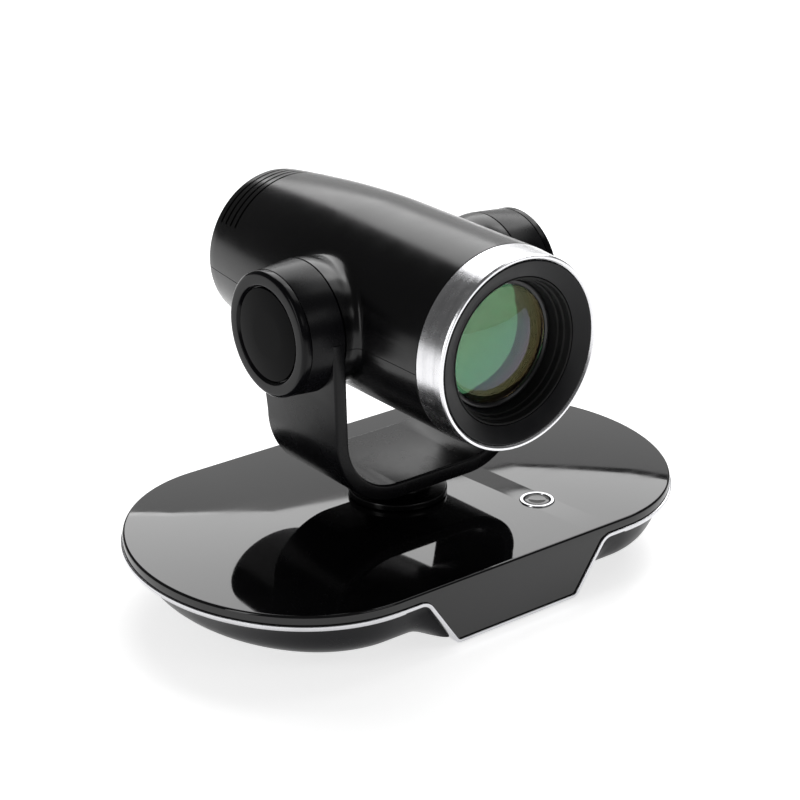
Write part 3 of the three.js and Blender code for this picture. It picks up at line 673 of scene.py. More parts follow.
@dataclass(frozen=True)
class CircuitBoard:
    """Solder mask over copper tracks."""

    mask: Colour
    copper: Colour

    def made(self, name: str) -> bpy.types.Material:
        """Builds the material under a name."""
        shader = Shader(name)
        place = shader.place(stretch=(1.0, 1.0, 0.2))
        tracks = shader.node("ShaderNodeTexBrick")
        tracks.inputs["Scale"].default_value = 260.0
        tracks.inputs["Mortar Size"].default_value = 0.03
        tracks.inputs["Color1"].default_value = (*self.mask, 1.0)
        tracks.inputs["Color2"].default_value = (*toned(self.mask, 1.3), 1.0)
        tracks.inputs["Mortar"].default_value = (*self.copper, 1.0)
        shader.link(place, tracks.inputs["Vector"])
        shader.link(tracks.outputs["Color"], shader.surface.inputs["Base Color"])
        gloss = shader.spread(shader.noise(place, 120.0), 0.25, 0.45)
        shader.link(gloss, shader.surface.inputs["Roughness"])
        shader.relief(tracks.outputs["Fac"], 3e-5, 0.4)
        return shader.material


@dataclass(frozen=True)
class ClearGlass:
    """Coated optical glass that lets the eye in."""

    tint: Colour
    film: float = 0.0

    def made(self, name: str) -> bpy.types.Material:
        """Builds the material under a name."""
        shader = Shader(name)
        shader.set(
            Transmission_Weight=1.0, IOR=1.5, Specular_IOR_Level=0.5, Thin_Film_Thickness=self.film,
            Thin_Film_IOR=1.38,
        )
        place = shader.place()
        haze = shader.noise(place, 60.0, 3.0)
        tones = [(0.3, toned(self.tint, 0.97)), (0.7, self.tint)]
        shader.link(shader.shades(haze, tones), shader.surface.inputs["Base Color"])
        shader.link(shader.spread(haze, 0.0, 0.012), shader.surface.inputs["Roughness"])
        return shader.material


@dataclass(frozen=True)
class CoatedElementWithPaintedReflections:
    """An inner lens whose coloured reflections are partly painted: its specular and coat tints colour real
    reflections, and its base colour paints rings and swirls of reflection in the glow colour over painted
    shade in the depth colour, darker towards its middle.
    """

    # glow is the coating's tint and also the colour of the painted reflection rings; depth is the colour of
    # the painted shade; rim is the colour at the edge.
    glow: Colour
    depth: Colour
    rim: Colour
    axis_centre: Vector
    radius: float

    def made(self, name: str) -> bpy.types.Material:
        """Builds the material under a name."""
        shader = Shader(name)
        shader.set(Specular_IOR_Level=1.0, IOR=1.9, Specular_Tint=(*self.glow, 1.0), Coat_Weight=0.5)
        shader.set(Coat_Roughness=0.02, Coat_Tint=(*toned(self.glow, 1.2), 1.0))
        place = shader.place(self.axis_centre)
        share = shader.spread(shader.radius_about(1, place), 0.0, 1.0, 0.0, self.radius)
        # Painted reflection streaks: this swirl bends the painted rings and also sets the roughness.
        swirl = shader.noise(shader.place(self.axis_centre, (1.0, 1.0, 1.9)), 70.0, 2.0)
        mixed = shader.node("ShaderNodeMath", operation="MULTIPLY_ADD")
        shader.link(swirl, mixed.inputs[0])
        mixed.inputs[1].default_value = 0.22
        shader.link(share, mixed.inputs[2])
        # The ramp paints reflections: faint rings in the glow colour between bands of painted shade in the
        # depth colour.
        stops = [
            (0.1, toned(self.depth, 1.4)), (0.36, toned(self.depth, 0.5)), (0.52, toned(self.glow, 0.07)),
            (0.6, toned(self.depth, 0.4)), (0.74, toned(self.glow, 0.12)), (0.8, toned(self.depth, 0.3)),
            (1.0, self.rim),
        ]
        colour = shader.shades(mixed.outputs["Value"], stops)
        shader.link(colour, shader.surface.inputs["Base Color"])
        shader.link(shader.spread(swirl, 0.02, 0.07), shader.surface.inputs["Roughness"])
        return shader.material


# ---------------------------------------------------------------- the finishes of this camera
HEAD_AXIS = Extent.of("front_ring").centre
LENS_BOX = Extent.of("front_lens")


class Finishes:
    """Every finish of the camera, built once each."""

    def __init__(self) -> None:
        """Builds the materials."""
        self.piano = Polished((0.0035, 0.0035, 0.004)).made("piano_black")
        self.bowl = Moulded((0.004, 0.004, 0.0055), 0.3, 0.04, specular=0.13).made("lower_shell_plastic")
        head_paint = Moulded((0.0028, 0.0028, 0.0032), 0.22, 0.03, specular=0.34, grain_depth=3e-6)
        self.body = head_paint.made("head_paint")
        self.yoke = Moulded((0.004, 0.004, 0.0048), 0.26, 0.035, specular=0.17).made("yoke_paint")
        self.cap = Moulded((0.003, 0.003, 0.0038), 0.18, 0.03, specular=0.16).made("hub_cap_plastic")
        self.disc = Polished((0.001, 0.001, 0.0013), 0.06, 0.03).made("cap_disc_gloss")
        self.bezel = Moulded((0.006, 0.006, 0.007), 0.33, 0.05, specular=0.2).made("bezel_plastic")
        self.chrome = PlainMetal((0.62, 0.62, 0.64), 0.2).made("trim_chrome")
        self.ring = TurnedMetal((0.8, 0.8, 0.82), 1, HEAD_AXIS).made("turned_ring")
        self.cast = PlainMetal((0.6, 0.6, 0.62), 0.42, 500.0, 2e-5).made("cast_aluminium")
        self.steel = PlainMetal((0.52, 0.53, 0.55), 0.3).made("plain_steel")
        self.brass = PlainMetal((0.72, 0.53, 0.25), 0.26).made("milled_brass")
        self.rubber = Moulded((0.018, 0.018, 0.018), 0.78, 0.08, 1500.0, 3e-5, 0.3).made("foot_rubber")
        self.board = CircuitBoard((0.015, 0.1, 0.04), (0.4, 0.24, 0.1)).made("circuit_board")
        self.nylon = Moulded((0.72, 0.69, 0.6), 0.48, 0.08, 800.0, 1e-5).made("white_nylon")
        self.matte = Moulded((0.004, 0.004, 0.004), 0.62, 0.08, specular=0.25).made("anti_glare_black")
        self.step = Moulded((0.012, 0.012, 0.013), 0.3, 0.04, specular=0.5).made("retainer_black")
        self.glass = ClearGlass((0.9, 1.0, 0.93), 384.0).made("front_glass")
        radius = Extent.of("zoom_lens").size.x / 2
        # Both inner-lens finishes paint reflections into their base colour: green rings on the fixed element,
        # and amber glints on the zoom and focus lenses.
        self.green = CoatedElementWithPaintedReflections(
            (0.12, 0.55, 0.26), (0.012, 0.02, 0.008), (0.004, 0.02, 0.012), HEAD_AXIS, LENS_BOX.size.x / 2
        ).made("green_coating_painted_reflections")
        self.amber = CoatedElementWithPaintedReflections(
            (0.75, 0.16, 0.08), (0.03, 0.022, 0.006), (0.05, 0.01, 0.006), HEAD_AXIS, radius
        ).made("amber_coating_painted_glints")

    def for_nodes(self) -> dict[bpy.types.Material, Sequence[str]]:
        """Says which frame nodes keep their shape and get which finish."""
        return {
            self.cast: ["lens_chassis"],
            self.steel: [
                "socket_plate", "power_socket", "video_socket", "usb_socket", "network_socket", "pan_motor",
                "pan_bearing", "pan_shaft", "tilt_motor", "tilt_bearing_left", "tilt_bearing_right",
                "tilt_shaft_left", "tilt_shaft_right", "guide_rod_left", "guide_rod_right",
            ],
            self.brass: ["tripod_bush", "pan_pinion", "tilt_pinion"],
            self.board: ["main_board", "window_board", "image_sensor_board", "video_board"],
            self.nylon: ["pan_gear", "tilt_gear", "status_light"],
            self.matte: [
                "lens_barrel", "remote_receiver", "button_switch", "zoom_carriage", "focus_carriage",
            ],
            # Painted amber glints on the inner zoom and focus lenses.
            self.amber: ["zoom_lens", "focus_lens"],
        }


def dress(piece: bpy.types.Object, material: bpy.types.Material) -> None:
    """Gives a whole piece one material.

    Args:
        piece: the piece or frame node.
        material: its finish.
    """
    if piece.data.materials:
        for index in range(len(piece.data.materials)):
            piece.data.materials[index] = material
    else:
        piece.data.materials.append(material)


def fit(piece: bpy.types.Object, body: str, slot: str, material: bpy.types.Material, *nodes: str) -> None:
    """Gives a piece its finish, its body and the frame nodes that it stands for.

    Args:
        piece: the piece.
        body: the body that it rides on.
        slot: not used.
        material: its finish.
        nodes: the nodes that it replaces.
    """
    dress(piece, material)
    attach(piece, body)
    if nodes:
        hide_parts(*nodes)
    count = len(piece.data.polygons)
    log.info("%s: %d faces, on %s, for %s", piece.name, count, body, ", ".join(nodes) or "-")


# ---------------------------------------------------------------- the base
Level = tuple[float, float, float]
Push = Callable[[Vector], Vector]


@dataclass(frozen=True)
class Plan:
    """The base's plan: straight front and back edges, and half ellipses at the ends."""

    box: Extent
    straight: float = 0.062
    steps: int = 192
    cuts: int = 90

    def outline(self, maker: bmesh.types.BMesh) -> list[bmesh.types.BMEdge]:
        """Draws the plan as one loop.

        Args:
            maker: the empty bmesh to draw in.

        Returns:
            The drawn edges.
        """
        half_step = Matrix.Rotation(math.pi / self.steps, 4, "Z")
        bmesh.ops.create_circle(maker, radius=1.0, segments=self.steps, matrix=half_step)
        long_edges = [edge for edge in maker.edges if edge.verts[0].co.x * edge.verts[1].co.x < 0]
        size = (self.box.size.x / 2 - self.straight, self.box.size.y / 2, 1.0)
        bmesh.ops.scale(maker, vec=size, verts=maker.verts)
        for side in Side:
            half = [vert for vert in maker.verts if vert.co.x * side.value > 0]
            bmesh.ops.translate(maker, verts=half, vec=(side.value * self.straight, 0.0, 0.0))
        bmesh.ops.subdivide_edges(maker, edges=long_edges, cuts=self.cuts)
        return maker.edges[:]

    def placed(self, plain: Vector, level: Level) -> Vector:
        """Moves a point of the plain plan to a level.

        Args:
            plain: the point on the plain plan.
            level: the height, the inset all round and the extra inset at the ends.

        Returns:
            The point's place.
        """
        height, inset, end_extra = level
        beyond = max(abs(plain.x) - self.straight, 0.0)
        drawn = beyond * (inset + end_extra) / (self.box.size.x / 2 - self.straight)
        x = math.copysign(abs(plain.x) - drawn, plain.x)
        return Vector((x, plain.y * (1 - 2 * inset / self.box.size.y) + self.box.centre.y, height))

    def loft(
        self, name: str, levels: Sequence[Level], closed: bool = False, push: Push | None = None
    ) -> bpy.types.Object:
        """Stacks the plan and joins the levels into one body.

        Args:
            name: the piece's name.
            levels: the levels in order.
            closed: whether the last level joins the first, with no caps.
            push: a change made to each point.

        Returns:
            The body.
        """
        maker = bmesh.new()
        plain = maker.verts.layers.float_vector.new("plain")
        rim = self.outline(maker)
        for vert in maker.verts:
            vert[plain] = vert.co
        verts = maker.verts[:]
        order = [*levels, levels[0]] if closed else levels
        for index, level in enumerate(order):
            if index:
                grown = bmesh.ops.extrude_edge_only(maker, edges=rim)["geom"]
                verts = [item for item in grown if isinstance(item, bmesh.types.BMVert)]
                fresh = set(verts)
                rim = [
                    item for item in grown
                    if isinstance(item, bmesh.types.BMEdge) and all(vert in fresh for vert in item.verts)
                ]
            for vert in verts:
                place = self.placed(vert[plain], level)
                vert.co = push(place) if push else place
            if not closed and level in (levels[0], levels[-1]):
                cap = bmesh.ops.edgeloop_fill(maker, edges=rim)["faces"]
                bmesh.ops.triangulate(maker, faces=cap)
        maker.verts.layers.float_vector.remove(plain)
        return finished(maker, name)


@dataclass(frozen=True)
class Dip:
    """The path that the trim takes down round the front panel and up again, in X and Z."""

    top: float
    floor: float
    upper_half: float = 0.0489
    lower_half: float = 0.03275
    upper_bend: float = 0.0065
    lower_bend: float = 0.0035
    lead_in: float = 0.008

    @property
    def fall(self) -> float:
        """The angle of the slanting stretch below level."""
        return math.atan2(self.top - self.floor, self.upper_half - self.lower_half)

    @property
    def start(self) -> float:
        """How far from the middle the path starts."""
        return self.upper_half + self.upper_bend * math.tan(self.fall / 2) + self.lead_in

    def trail(self, offset: float) -> list[Point2]:
        """Walks the path.

        Args:
            offset: how far above the centre line.

        Returns:
            The points from left to right.
        """
        slant = math.hypot(self.top - self.floor, self.upper_half - self.lower_half)
        upper_cut = self.upper_bend * math.tan(self.fall / 2)
        lower_cut = self.lower_bend * math.tan(self.fall / 2)
        run = slant - upper_cut - lower_cut
        walk = Trail((-self.start, self.top), 0.0, offset)
        walk.ahead(self.lead_in).turn(-self.fall, self.upper_bend).ahead(run)
        walk.turn(self.fall, self.lower_bend).ahead(2 * (self.lower_half - lower_cut))
        walk.turn(self.fall, self.lower_bend).ahead(run)
        walk.turn(-self.fall, self.upper_bend).ahead(self.lead_in)
        return walk.points


class Base:
    """The oval base: glossy cover with the front panel, bright trim, bowl, plate, feet and button."""

    cover_rounding = 0.0012
    cover_wall = 0.0024
    dip_half = 0.0008
    trim_depth = 0.003
    trim_proud = 0.0008
    shell_wall = 0.0024
    shoulder = 0.002
    taper = 0.028
    side_share = 0.29
    end_taper = 0.006
    sweep = 0.013
    trim_height = 0.0027
    hole_ends = (-0.01, 0.02)

    def __init__(self, finishes: Finishes) -> None:
        """Measures the frame.

        Args:
            finishes: the camera's finishes.
        """
        self.finishes = finishes
        self.cover = Extent.of("top_cover")
        self.trim = Extent.of("trim_strip")
        self.panel = Extent.of("front_panel")
        self.shell = Extent.of("lower_shell")
        self.plan = Plan(self.cover)
        self.button = Extent.of("push_button")
        floor = self.panel.low.z - self.dip_half - GAP
        self.dip = Dip(self.trim.high.z - self.dip_half, floor)

    def build(self) -> None:
        """Builds every piece of the base."""
        self.build_cover()
        self.build_trim()
        self.build_shell()
        self.build_plate()
        self.build_feet()
        self.build_button()

    def build_cover(self) -> None:
        """Builds the glossy cover, which runs down into the front panel with no joint."""
        top, low = self.cover.high.z, self.cover.low.z
        reach = self.cover_rounding
        levels: list[Level] = [(top - self.cover_wall, self.cover_wall, 0.0), (low, self.cover_wall, 0.0)]
        levels.append((low, 0.0002, 0.0))
        levels.append((low + 0.0002, 0.0, 0.0))
        steps = 6
        for step in range(steps + 1):
            angle = math.pi / 2 * step / steps
            levels.append((top - reach + reach * math.sin(angle), reach - reach * math.cos(angle), 0.0))
        cover = self.plan.loft("cover_and_panel", levels)
        rise = self.dip_half + GAP
        outline = self.dip.trail(rise)
        tail = [(self.dip.start, low + GAP), (-self.dip.start, low + GAP)]
        panel = slab("panel", outline + tail, self.panel.low.y, self.panel.high.y)
        carve(cover, panel, Cut.JOIN)
        shaft_room = Extent.of("pan_shaft").size.x / 2 + 0.002
        past = 0.005
        drill(cover, Vector(), shaft_room, low - past, top + past)
        radius = self.button.size.x / 2 + GAP
        drill(cover, self.button.centre, radius, low - past, top + past, SMALL_STEPS)
        fit(cover, "base", "gloss_black", self.finishes.piano, "top_cover", "front_panel")

    def build_trim(self) -> None:
        """Builds the bright line round the base and its dip round the panel."""
        top, low = self.trim.high.z, self.cover.low.z - self.trim_height
        proud = self.trim_proud
        levels: list[Level] = [
            (top, self.trim_depth, 0.0), (top, 0.0003 - proud, 0.0), (top - 0.00012, 0.0001 - proud, 0.0),
            (top - 0.0004, -proud, 0.0), (low + 0.0009, -proud, 0.0), (low + 0.0006, 0.00015 - proud, 0.0),
            (low, 0.0008 - proud, 0.0), (low, self.trim_depth, 0.0),
        ]
        band = self.plan.loft("trim_line", levels, closed=True)
        front = self.trim.low.y
        start = self.dip.start
        margin = 0.01
        room = brick("gap", (-start, front - margin, low - margin), (start, front + margin, top + margin))
        carve(band, room, Cut.AWAY)
        upper = self.dip.trail(self.dip_half)
        lower = self.dip.trail(-self.dip_half)
        tip = (-start - 0.0005, low + 0.0008)
        end = (start + 0.0005, low + 0.0008)
        outline = [(-start - 0.0005, top)] + upper + [(start + 0.0005, top), end] + lower[::-1] + [tip]
        dip = slab("dip", outline, front, front + self.trim_depth + proud, edge=0.0002)
        carve(band, dip, Cut.JOIN)
        fit(band, "base", "bright_trim", self.finishes.chrome, "trim_strip")

    def inset(self, height: float) -> tuple[float, float]:
        """Says how far the bowl is drawn in.

        Args:
            height: the height.

        Returns:
            The inset all round and the extra inset at the ends.
        """
        fall = (self.shell.high.z - height) / (self.shell.high.z - self.shell.low.z)
        share = self.side_share * fall + (1 - self.side_share) * fall**6
        return self.shoulder + self.taper * share, self.end_taper * fall**0.7

    def bulge(self, wall: float) -> Push:
        """Says how the bowl swells forwards behind the panel.

        Args:
            wall: how far behind the outer surface.

        Returns:
            The change for a point.
        """
        slope = (self.dip.upper_half - self.dip.lower_half) / (self.dip.top - self.dip.floor)
        front = self.trim.low.y + self.trim_depth + self.trim_proud + GAP + wall
        floor = self.panel.low.z

        def change(point: Vector) -> Vector:
            """Moves one point."""
            half = self.dip.lower_half + slope * (point.z - self.dip.floor) + self.dip_half - wall
            beyond = max(0.0, min(1.0, 1.0 - (abs(point.x) - half) / self.sweep))
            share = beyond * beyond * (3 - 2 * beyond) * max(0.0, min(1.0, (point.z - floor + 0.001) / 0.001))
            if point.y > 0:
                return point
            return Vector((point.x, point.y + share * (min(front, point.y) - point.y), point.z))

        return change

    def build_shell(self) -> None:
        """Builds the bowl with its hollow, its swell behind the panel and the socket bay."""
        low, high = self.shell.low.z, self.shell.high.z
        count = 20
        heights = [low + (high - low) * (step / count) ** 1.5 for step in range(count + 1)]
        outer: list[Level] = [(height, *self.inset(height)) for height in heights]
        wall = self.shell_wall
        inner_heights = [low + wall] + [height for height in heights if height > low + 1.3 * wall]
        inner = [(height, self.inset(height)[0] + wall, self.inset(height)[1]) for height in inner_heights]
        inner.append((high + 0.002, inner[-1][1], inner[-1][2]))
        body = self.plan.loft("bowl_body", outer, push=self.bulge(0.0))
        hollow = self.plan.loft("hollow", inner, push=self.bulge(wall))
        plate = Extent.of("socket_plate")
        reach = wall + GAP
        bay_low = plate.low - Vector((reach, 0.002, reach))
        bay_high = Vector((plate.high.x + reach, plate.high.y + 0.03, high - 0.0001))
        room_low = plate.low - Vector((GAP, 0.02, GAP))
        room_high = Vector((plate.high.x + GAP, plate.high.y + 0.04, plate.high.z + GAP))
        bay = brick("bay", bay_low, bay_high)
        shape = body.copy()
        shape.data = body.data.copy()
        bpy.context.scene.collection.objects.link(shape)
        carve(bay, shape, Cut.KEEP)
        carve(body, hollow, Cut.AWAY)
        carve(body, bay, Cut.JOIN)
        carve(body, brick("room", room_low, room_high), Cut.AWAY)
        bush = Extent.of("tripod_bush")
        radius = bush.size.x / 2 + GAP
        drill(body, bush.centre, radius, *self.hole_ends, SMALL_STEPS)
        body.name = "bowl"
        fit(body, "base", "satin_black", self.finishes.bowl, "lower_shell")

    def build_plate(self) -> None:
        """Builds the flat plate under the bowl."""
        box = Extent.of("base_plate")
        inset = (self.cover.size.y - box.size.y) / 2
        edge = 0.0003
        levels: list[Level] = [
            (0.0, inset + edge, self.end_taper), (edge, inset, self.end_taper),
            (box.high.z - edge, inset, self.end_taper), (box.high.z, inset + edge, self.end_taper),
        ]
        plate = self.plan.loft("bottom_plate", levels)
        bush = Extent.of("tripod_bush")
        rooms = [(bush.centre, bush.size.x / 2 - 0.002)]
        rooms += [(Extent.of(foot).centre, Extent.of(foot).size.x / 2 + GAP) for foot in self.feet()]
        for centre, radius in rooms:
            drill(plate, centre, radius, *self.hole_ends, SMALL_STEPS)
        fit(plate, "base", "steel", self.finishes.steel, "base_plate")

    @staticmethod
    def feet() -> list[str]:
        """Names the feet."""
        return [f"foot_{end}_{side}" for end in ("front", "back") for side in ("left", "right")]

    def build_feet(self) -> None:
        """Builds the rubber feet with a soft rim and a shallow dimple."""
        for name in self.feet():
            box = Extent.of(name)
            radius = box.size.x / 2
            outline = softened([
                (0.0, box.low.z + 0.0004, 0), (radius * 0.45, box.low.z + 0.0004, 0.001),
                (radius * 0.62, box.low.z, 0.001), (radius, box.low.z, 0.0008), (radius, box.high.z, 0),
                (0.0, box.high.z, 0),
            ])
            centre = Vector((box.centre.x, box.centre.y, 0.0))
            pad = turned(f"{name}_pad", outline, UP, centre, steps=SMALL_STEPS)
            fit(pad, "base", "rubber", self.finishes.rubber, name)

    def build_button(self) -> None:
        """Builds the push button and the bright ring round it."""
        box = Extent.of("button_ring")
        centre = Vector((box.centre.x, box.centre.y, 0.0))
        outer, low, high = box.size.x / 2, box.low.z, box.high.z
        inner = self.button.size.x / 2 + GAP
        outline = softened([
            (inner, low, 0), (outer, low, 0), (outer - 0.0003, high, 0.0003), (inner + 0.0002, high, 0.0003),
        ], closed=True)
        ring = turned("button_bright_ring", outline, UP, centre, closed=True, steps=96)
        fit(ring, "base", "bright_trim", self.finishes.chrome, "button_ring")
        radius, top = self.button.size.x / 2, self.button.high.z
        skirt = self.cover.high.z - 0.003
        outline = softened([
            (0.0, self.button.low.z, 0), (0.002, self.button.low.z, 0), (0.002, skirt, 0), (radius, skirt, 0),
            (radius, top - 0.0001, 0.0005), (radius * 0.7, top, 0.002), (0.0, top - 0.0003, 0),
        ])
        cap = turned("button_cap", outline, UP, centre, steps=96)
        fit(cap, "button", "gloss_black", self.finishes.piano, "push_button")


# ---------------------------------------------------------------- the yoke
class Yoke:
    """The U that turns on the base, with the hubs that hold the head."""

    fillet = 0.0256
    saddle_thick = 0.0071
    arm_thick = 0.0061
    saddle_depth = 0.051
    lean = 0.0033
    edge = 0.0011
    cup_wall = 0.0018
    arm_steps = 8

    def __init__(self, finishes: Finishes) -> None:
        """Measures the frame.

        Args:
            finishes: the camera's finishes.
        """
        self.finishes = finishes
        self.box = Extent.of("yoke")
        self.tilt = HEAD_AXIS.z
        self.hub = Extent.of("hub_housing_right")
        self.hub_radius = self.hub.size.z / 2
        self.inner = self.hub.low.x - self.lean

    def build(self) -> None:
        """Builds every piece of the yoke."""
        frame_piece = self.build_arms()
        for side in Side:
            carve(frame_piece, self.hub_cup(side), Cut.JOIN)
        nodes = ("yoke", "hub_housing_left", "hub_housing_right")
        fit(frame_piece, "yoke", "yoke_paint", self.finishes.yoke, *nodes)
        for side in Side:
            self.build_cap(side)
        self.build_flange()

    def build_arms(self) -> bpy.types.Object:
        """Builds the U: half the saddle, a bend and an arm, mirrored."""
        low = self.box.low.z
        high = low + self.saddle_thick
        half = self.saddle_depth / 2
        maker = bmesh.new()
        corners = softened(
            [
                (-half, low, self.edge), (half, low, self.edge), (half, high, self.edge),
                (-half, high, self.edge),
            ],
            closed=True, steps=4,
        )
        face = maker.faces.new([maker.verts.new((0.0, y, z)) for y, z in corners])
        tip = self.pushed(maker, [face], (self.inner - self.fillet, 0, 0))
        centre = Vector((self.inner - self.fillet, 0.0, high + self.fillet))
        bend = bmesh.ops.spin(
            maker, geom=tip, cent=centre, axis=(0, -1, 0), angle=math.pi / 2, steps=20, use_merge=False,
            use_duplicate=False,
        )
        tip = [item for item in bend["geom_last"] if isinstance(item, bmesh.types.BMFace)]
        rise = (self.tilt - centre.z) / self.arm_steps
        for _ in range(self.arm_steps):
            tip = self.pushed(maker, tip, (0, 0, rise))
        narrow = (self.fillet + self.arm_thick) / (self.fillet + self.saddle_thick)
        widen = 2 * self.hub_radius / self.saddle_depth - 1
        for vert in maker.verts:
            out = vert.co.x - centre.x
            if out > 0 and math.hypot(out, min(0.0, vert.co.z - centre.z)) > self.fillet + 0.002:
                vert.co.x = centre.x + out * narrow
            share = max(0.0, (vert.co.z - centre.z) / (self.tilt - centre.z))
            vert.co.x += self.lean * share
            vert.co.y *= 1 + widen * share
        start = [item for item in maker.faces if all(abs(vert.co.x) < 1e-7 for vert in item.verts)]
        bmesh.ops.delete(maker, geom=start, context="FACES")
        everything = maker.verts[:] + maker.edges[:] + maker.faces[:]
        bmesh.ops.mirror(maker, geom=everything, axis="X", merge_dist=1e-6)
        arms = finished(maker, "yoke_and_hubs")
        for side in Side:
            room = [(0.0, self.hub.low.x - 0.0001), (self.hub_radius - 0.0012, self.hub.low.x - 0.0001)]
            room += [(self.hub_radius - 0.0012, self.hub.high.x), (0.0, self.hub.high.x)]
            cradle = turned("cradle", room, RIGHT * side.value, self.axis())
            carve(arms, cradle, Cut.AWAY)
            room = [(0.0, self.inner - 0.005), (self.hub_radius + 0.001, self.inner - 0.005)]
            room += [(self.hub_radius + 0.001, self.hub.low.x), (0.0, self.hub.low.x)]
            carve(arms, turned("flange_room", room, RIGHT * side.value, self.axis()), Cut.AWAY)
        return arms

    def axis(self) -> Vector:
        """Gives the point where the tilt axis crosses the middle."""
        return Vector((0.0, 0.0, self.tilt))

    @staticmethod
    def pushed(maker: bmesh.types.BMesh, faces: list, way: Sequence[float]) -> list:
        """Extrudes faces straight on and drops the old ones.

        Args:
            maker: the bmesh.
            faces: the faces.
            way: how far, along each axis.

        Returns:
            The new end faces.
        """
        grown = bmesh.ops.extrude_face_region(maker, geom=faces)
        verts = [item for item in grown["geom"] if isinstance(item, bmesh.types.BMVert)]
        bmesh.ops.translate(maker, verts=verts, vec=way)
        bmesh.ops.delete(maker, geom=[face for face in faces if face.is_valid], context="FACES_ONLY")
        return [item for item in grown["geom"] if isinstance(item, bmesh.types.BMFace)]

    def hub_cup(self, side: Side) -> bpy.types.Object:
        """Turns one hub.

        Args:
            side: which hub.

        Returns:
            The cup.
        """
        start, end = self.hub.low.x, self.hub.high.x
        tip = Extent.of("hub_cap_right").size.z / 2
        bearing = Extent.of("tilt_bearing_right").size.z / 2 + GAP
        outline = softened([
            (bearing, start, 0), (self.hub_radius, start, 0.0004), (tip, end, 0.0002),
            (tip - self.cup_wall, end, 0), (tip - self.cup_wall, start + self.cup_wall, 0),
            (bearing, start + self.cup_wall, 0),
        ], closed=True)
        return turned("hub_cup", outline, RIGHT * side.value, self.axis(), closed=True)

    def build_cap(self, side: Side) -> None:
        """Turns one hub cap and its disc.

        Args:
            side: which cap.
        """
        name = side.name.lower()
        cap = Extent.of("hub_cap_right")
        disc = Extent.of("cap_disc_right")
        tip, low, high = cap.size.z / 2, cap.low.x, cap.high.x
        face = disc.size.z / 2
        floor = disc.low.x - GAP
        outline = softened([
            (0.0, low, 0), (tip, low, 0.00025), (tip, high, 0.0033), (face + 0.0013, high, 0.0006),
            (face + 0.0004, high - 0.0012, 0.0002), (face + 0.0003, floor, 0), (0.0, floor, 0),
        ], steps=8)
        piece = turned(f"hub_cap_{name}_shell", outline, RIGHT * side.value, self.axis())
        fit(piece, "yoke", "satin_black", self.finishes.cap, f"hub_cap_{name}")
        outline = softened([
            (0.0, disc.low.x, 0), (face, disc.low.x, 0), (face, disc.high.x - 0.0005, 0.0005),
            (face * 0.5, disc.high.x - 0.00012, 0.03), (0.0, disc.high.x, 0),
        ], steps=6)
        piece = turned(f"cap_disc_{name}_gloss", outline, RIGHT * side.value, self.axis())
        fit(piece, "yoke", "gloss_black", self.finishes.disc, f"cap_disc_{name}")

    def build_flange(self) -> None:
        """Turns the flange and column that carry the yoke."""
        box = Extent.of("pan_flange")
        shaft = Extent.of("pan_shaft").size.x / 2 + GAP
        outer, low, high = box.size.x / 2, box.low.z, box.high.z
        column = 0.014
        shelf = low + 0.003
        outline = softened([
            (shaft, low, 0), (outer, low, 0.0003), (outer, shelf, 0.0009), (column, shelf + 0.0004, 0.003),
            (column, high, 0), (shaft, high, 0),
        ], closed=True)
        piece = turned("pan_column", outline, UP, Vector(), closed=True)
        fit(piece, "yoke", "satin_black", self.finishes.body, "pan_flange")


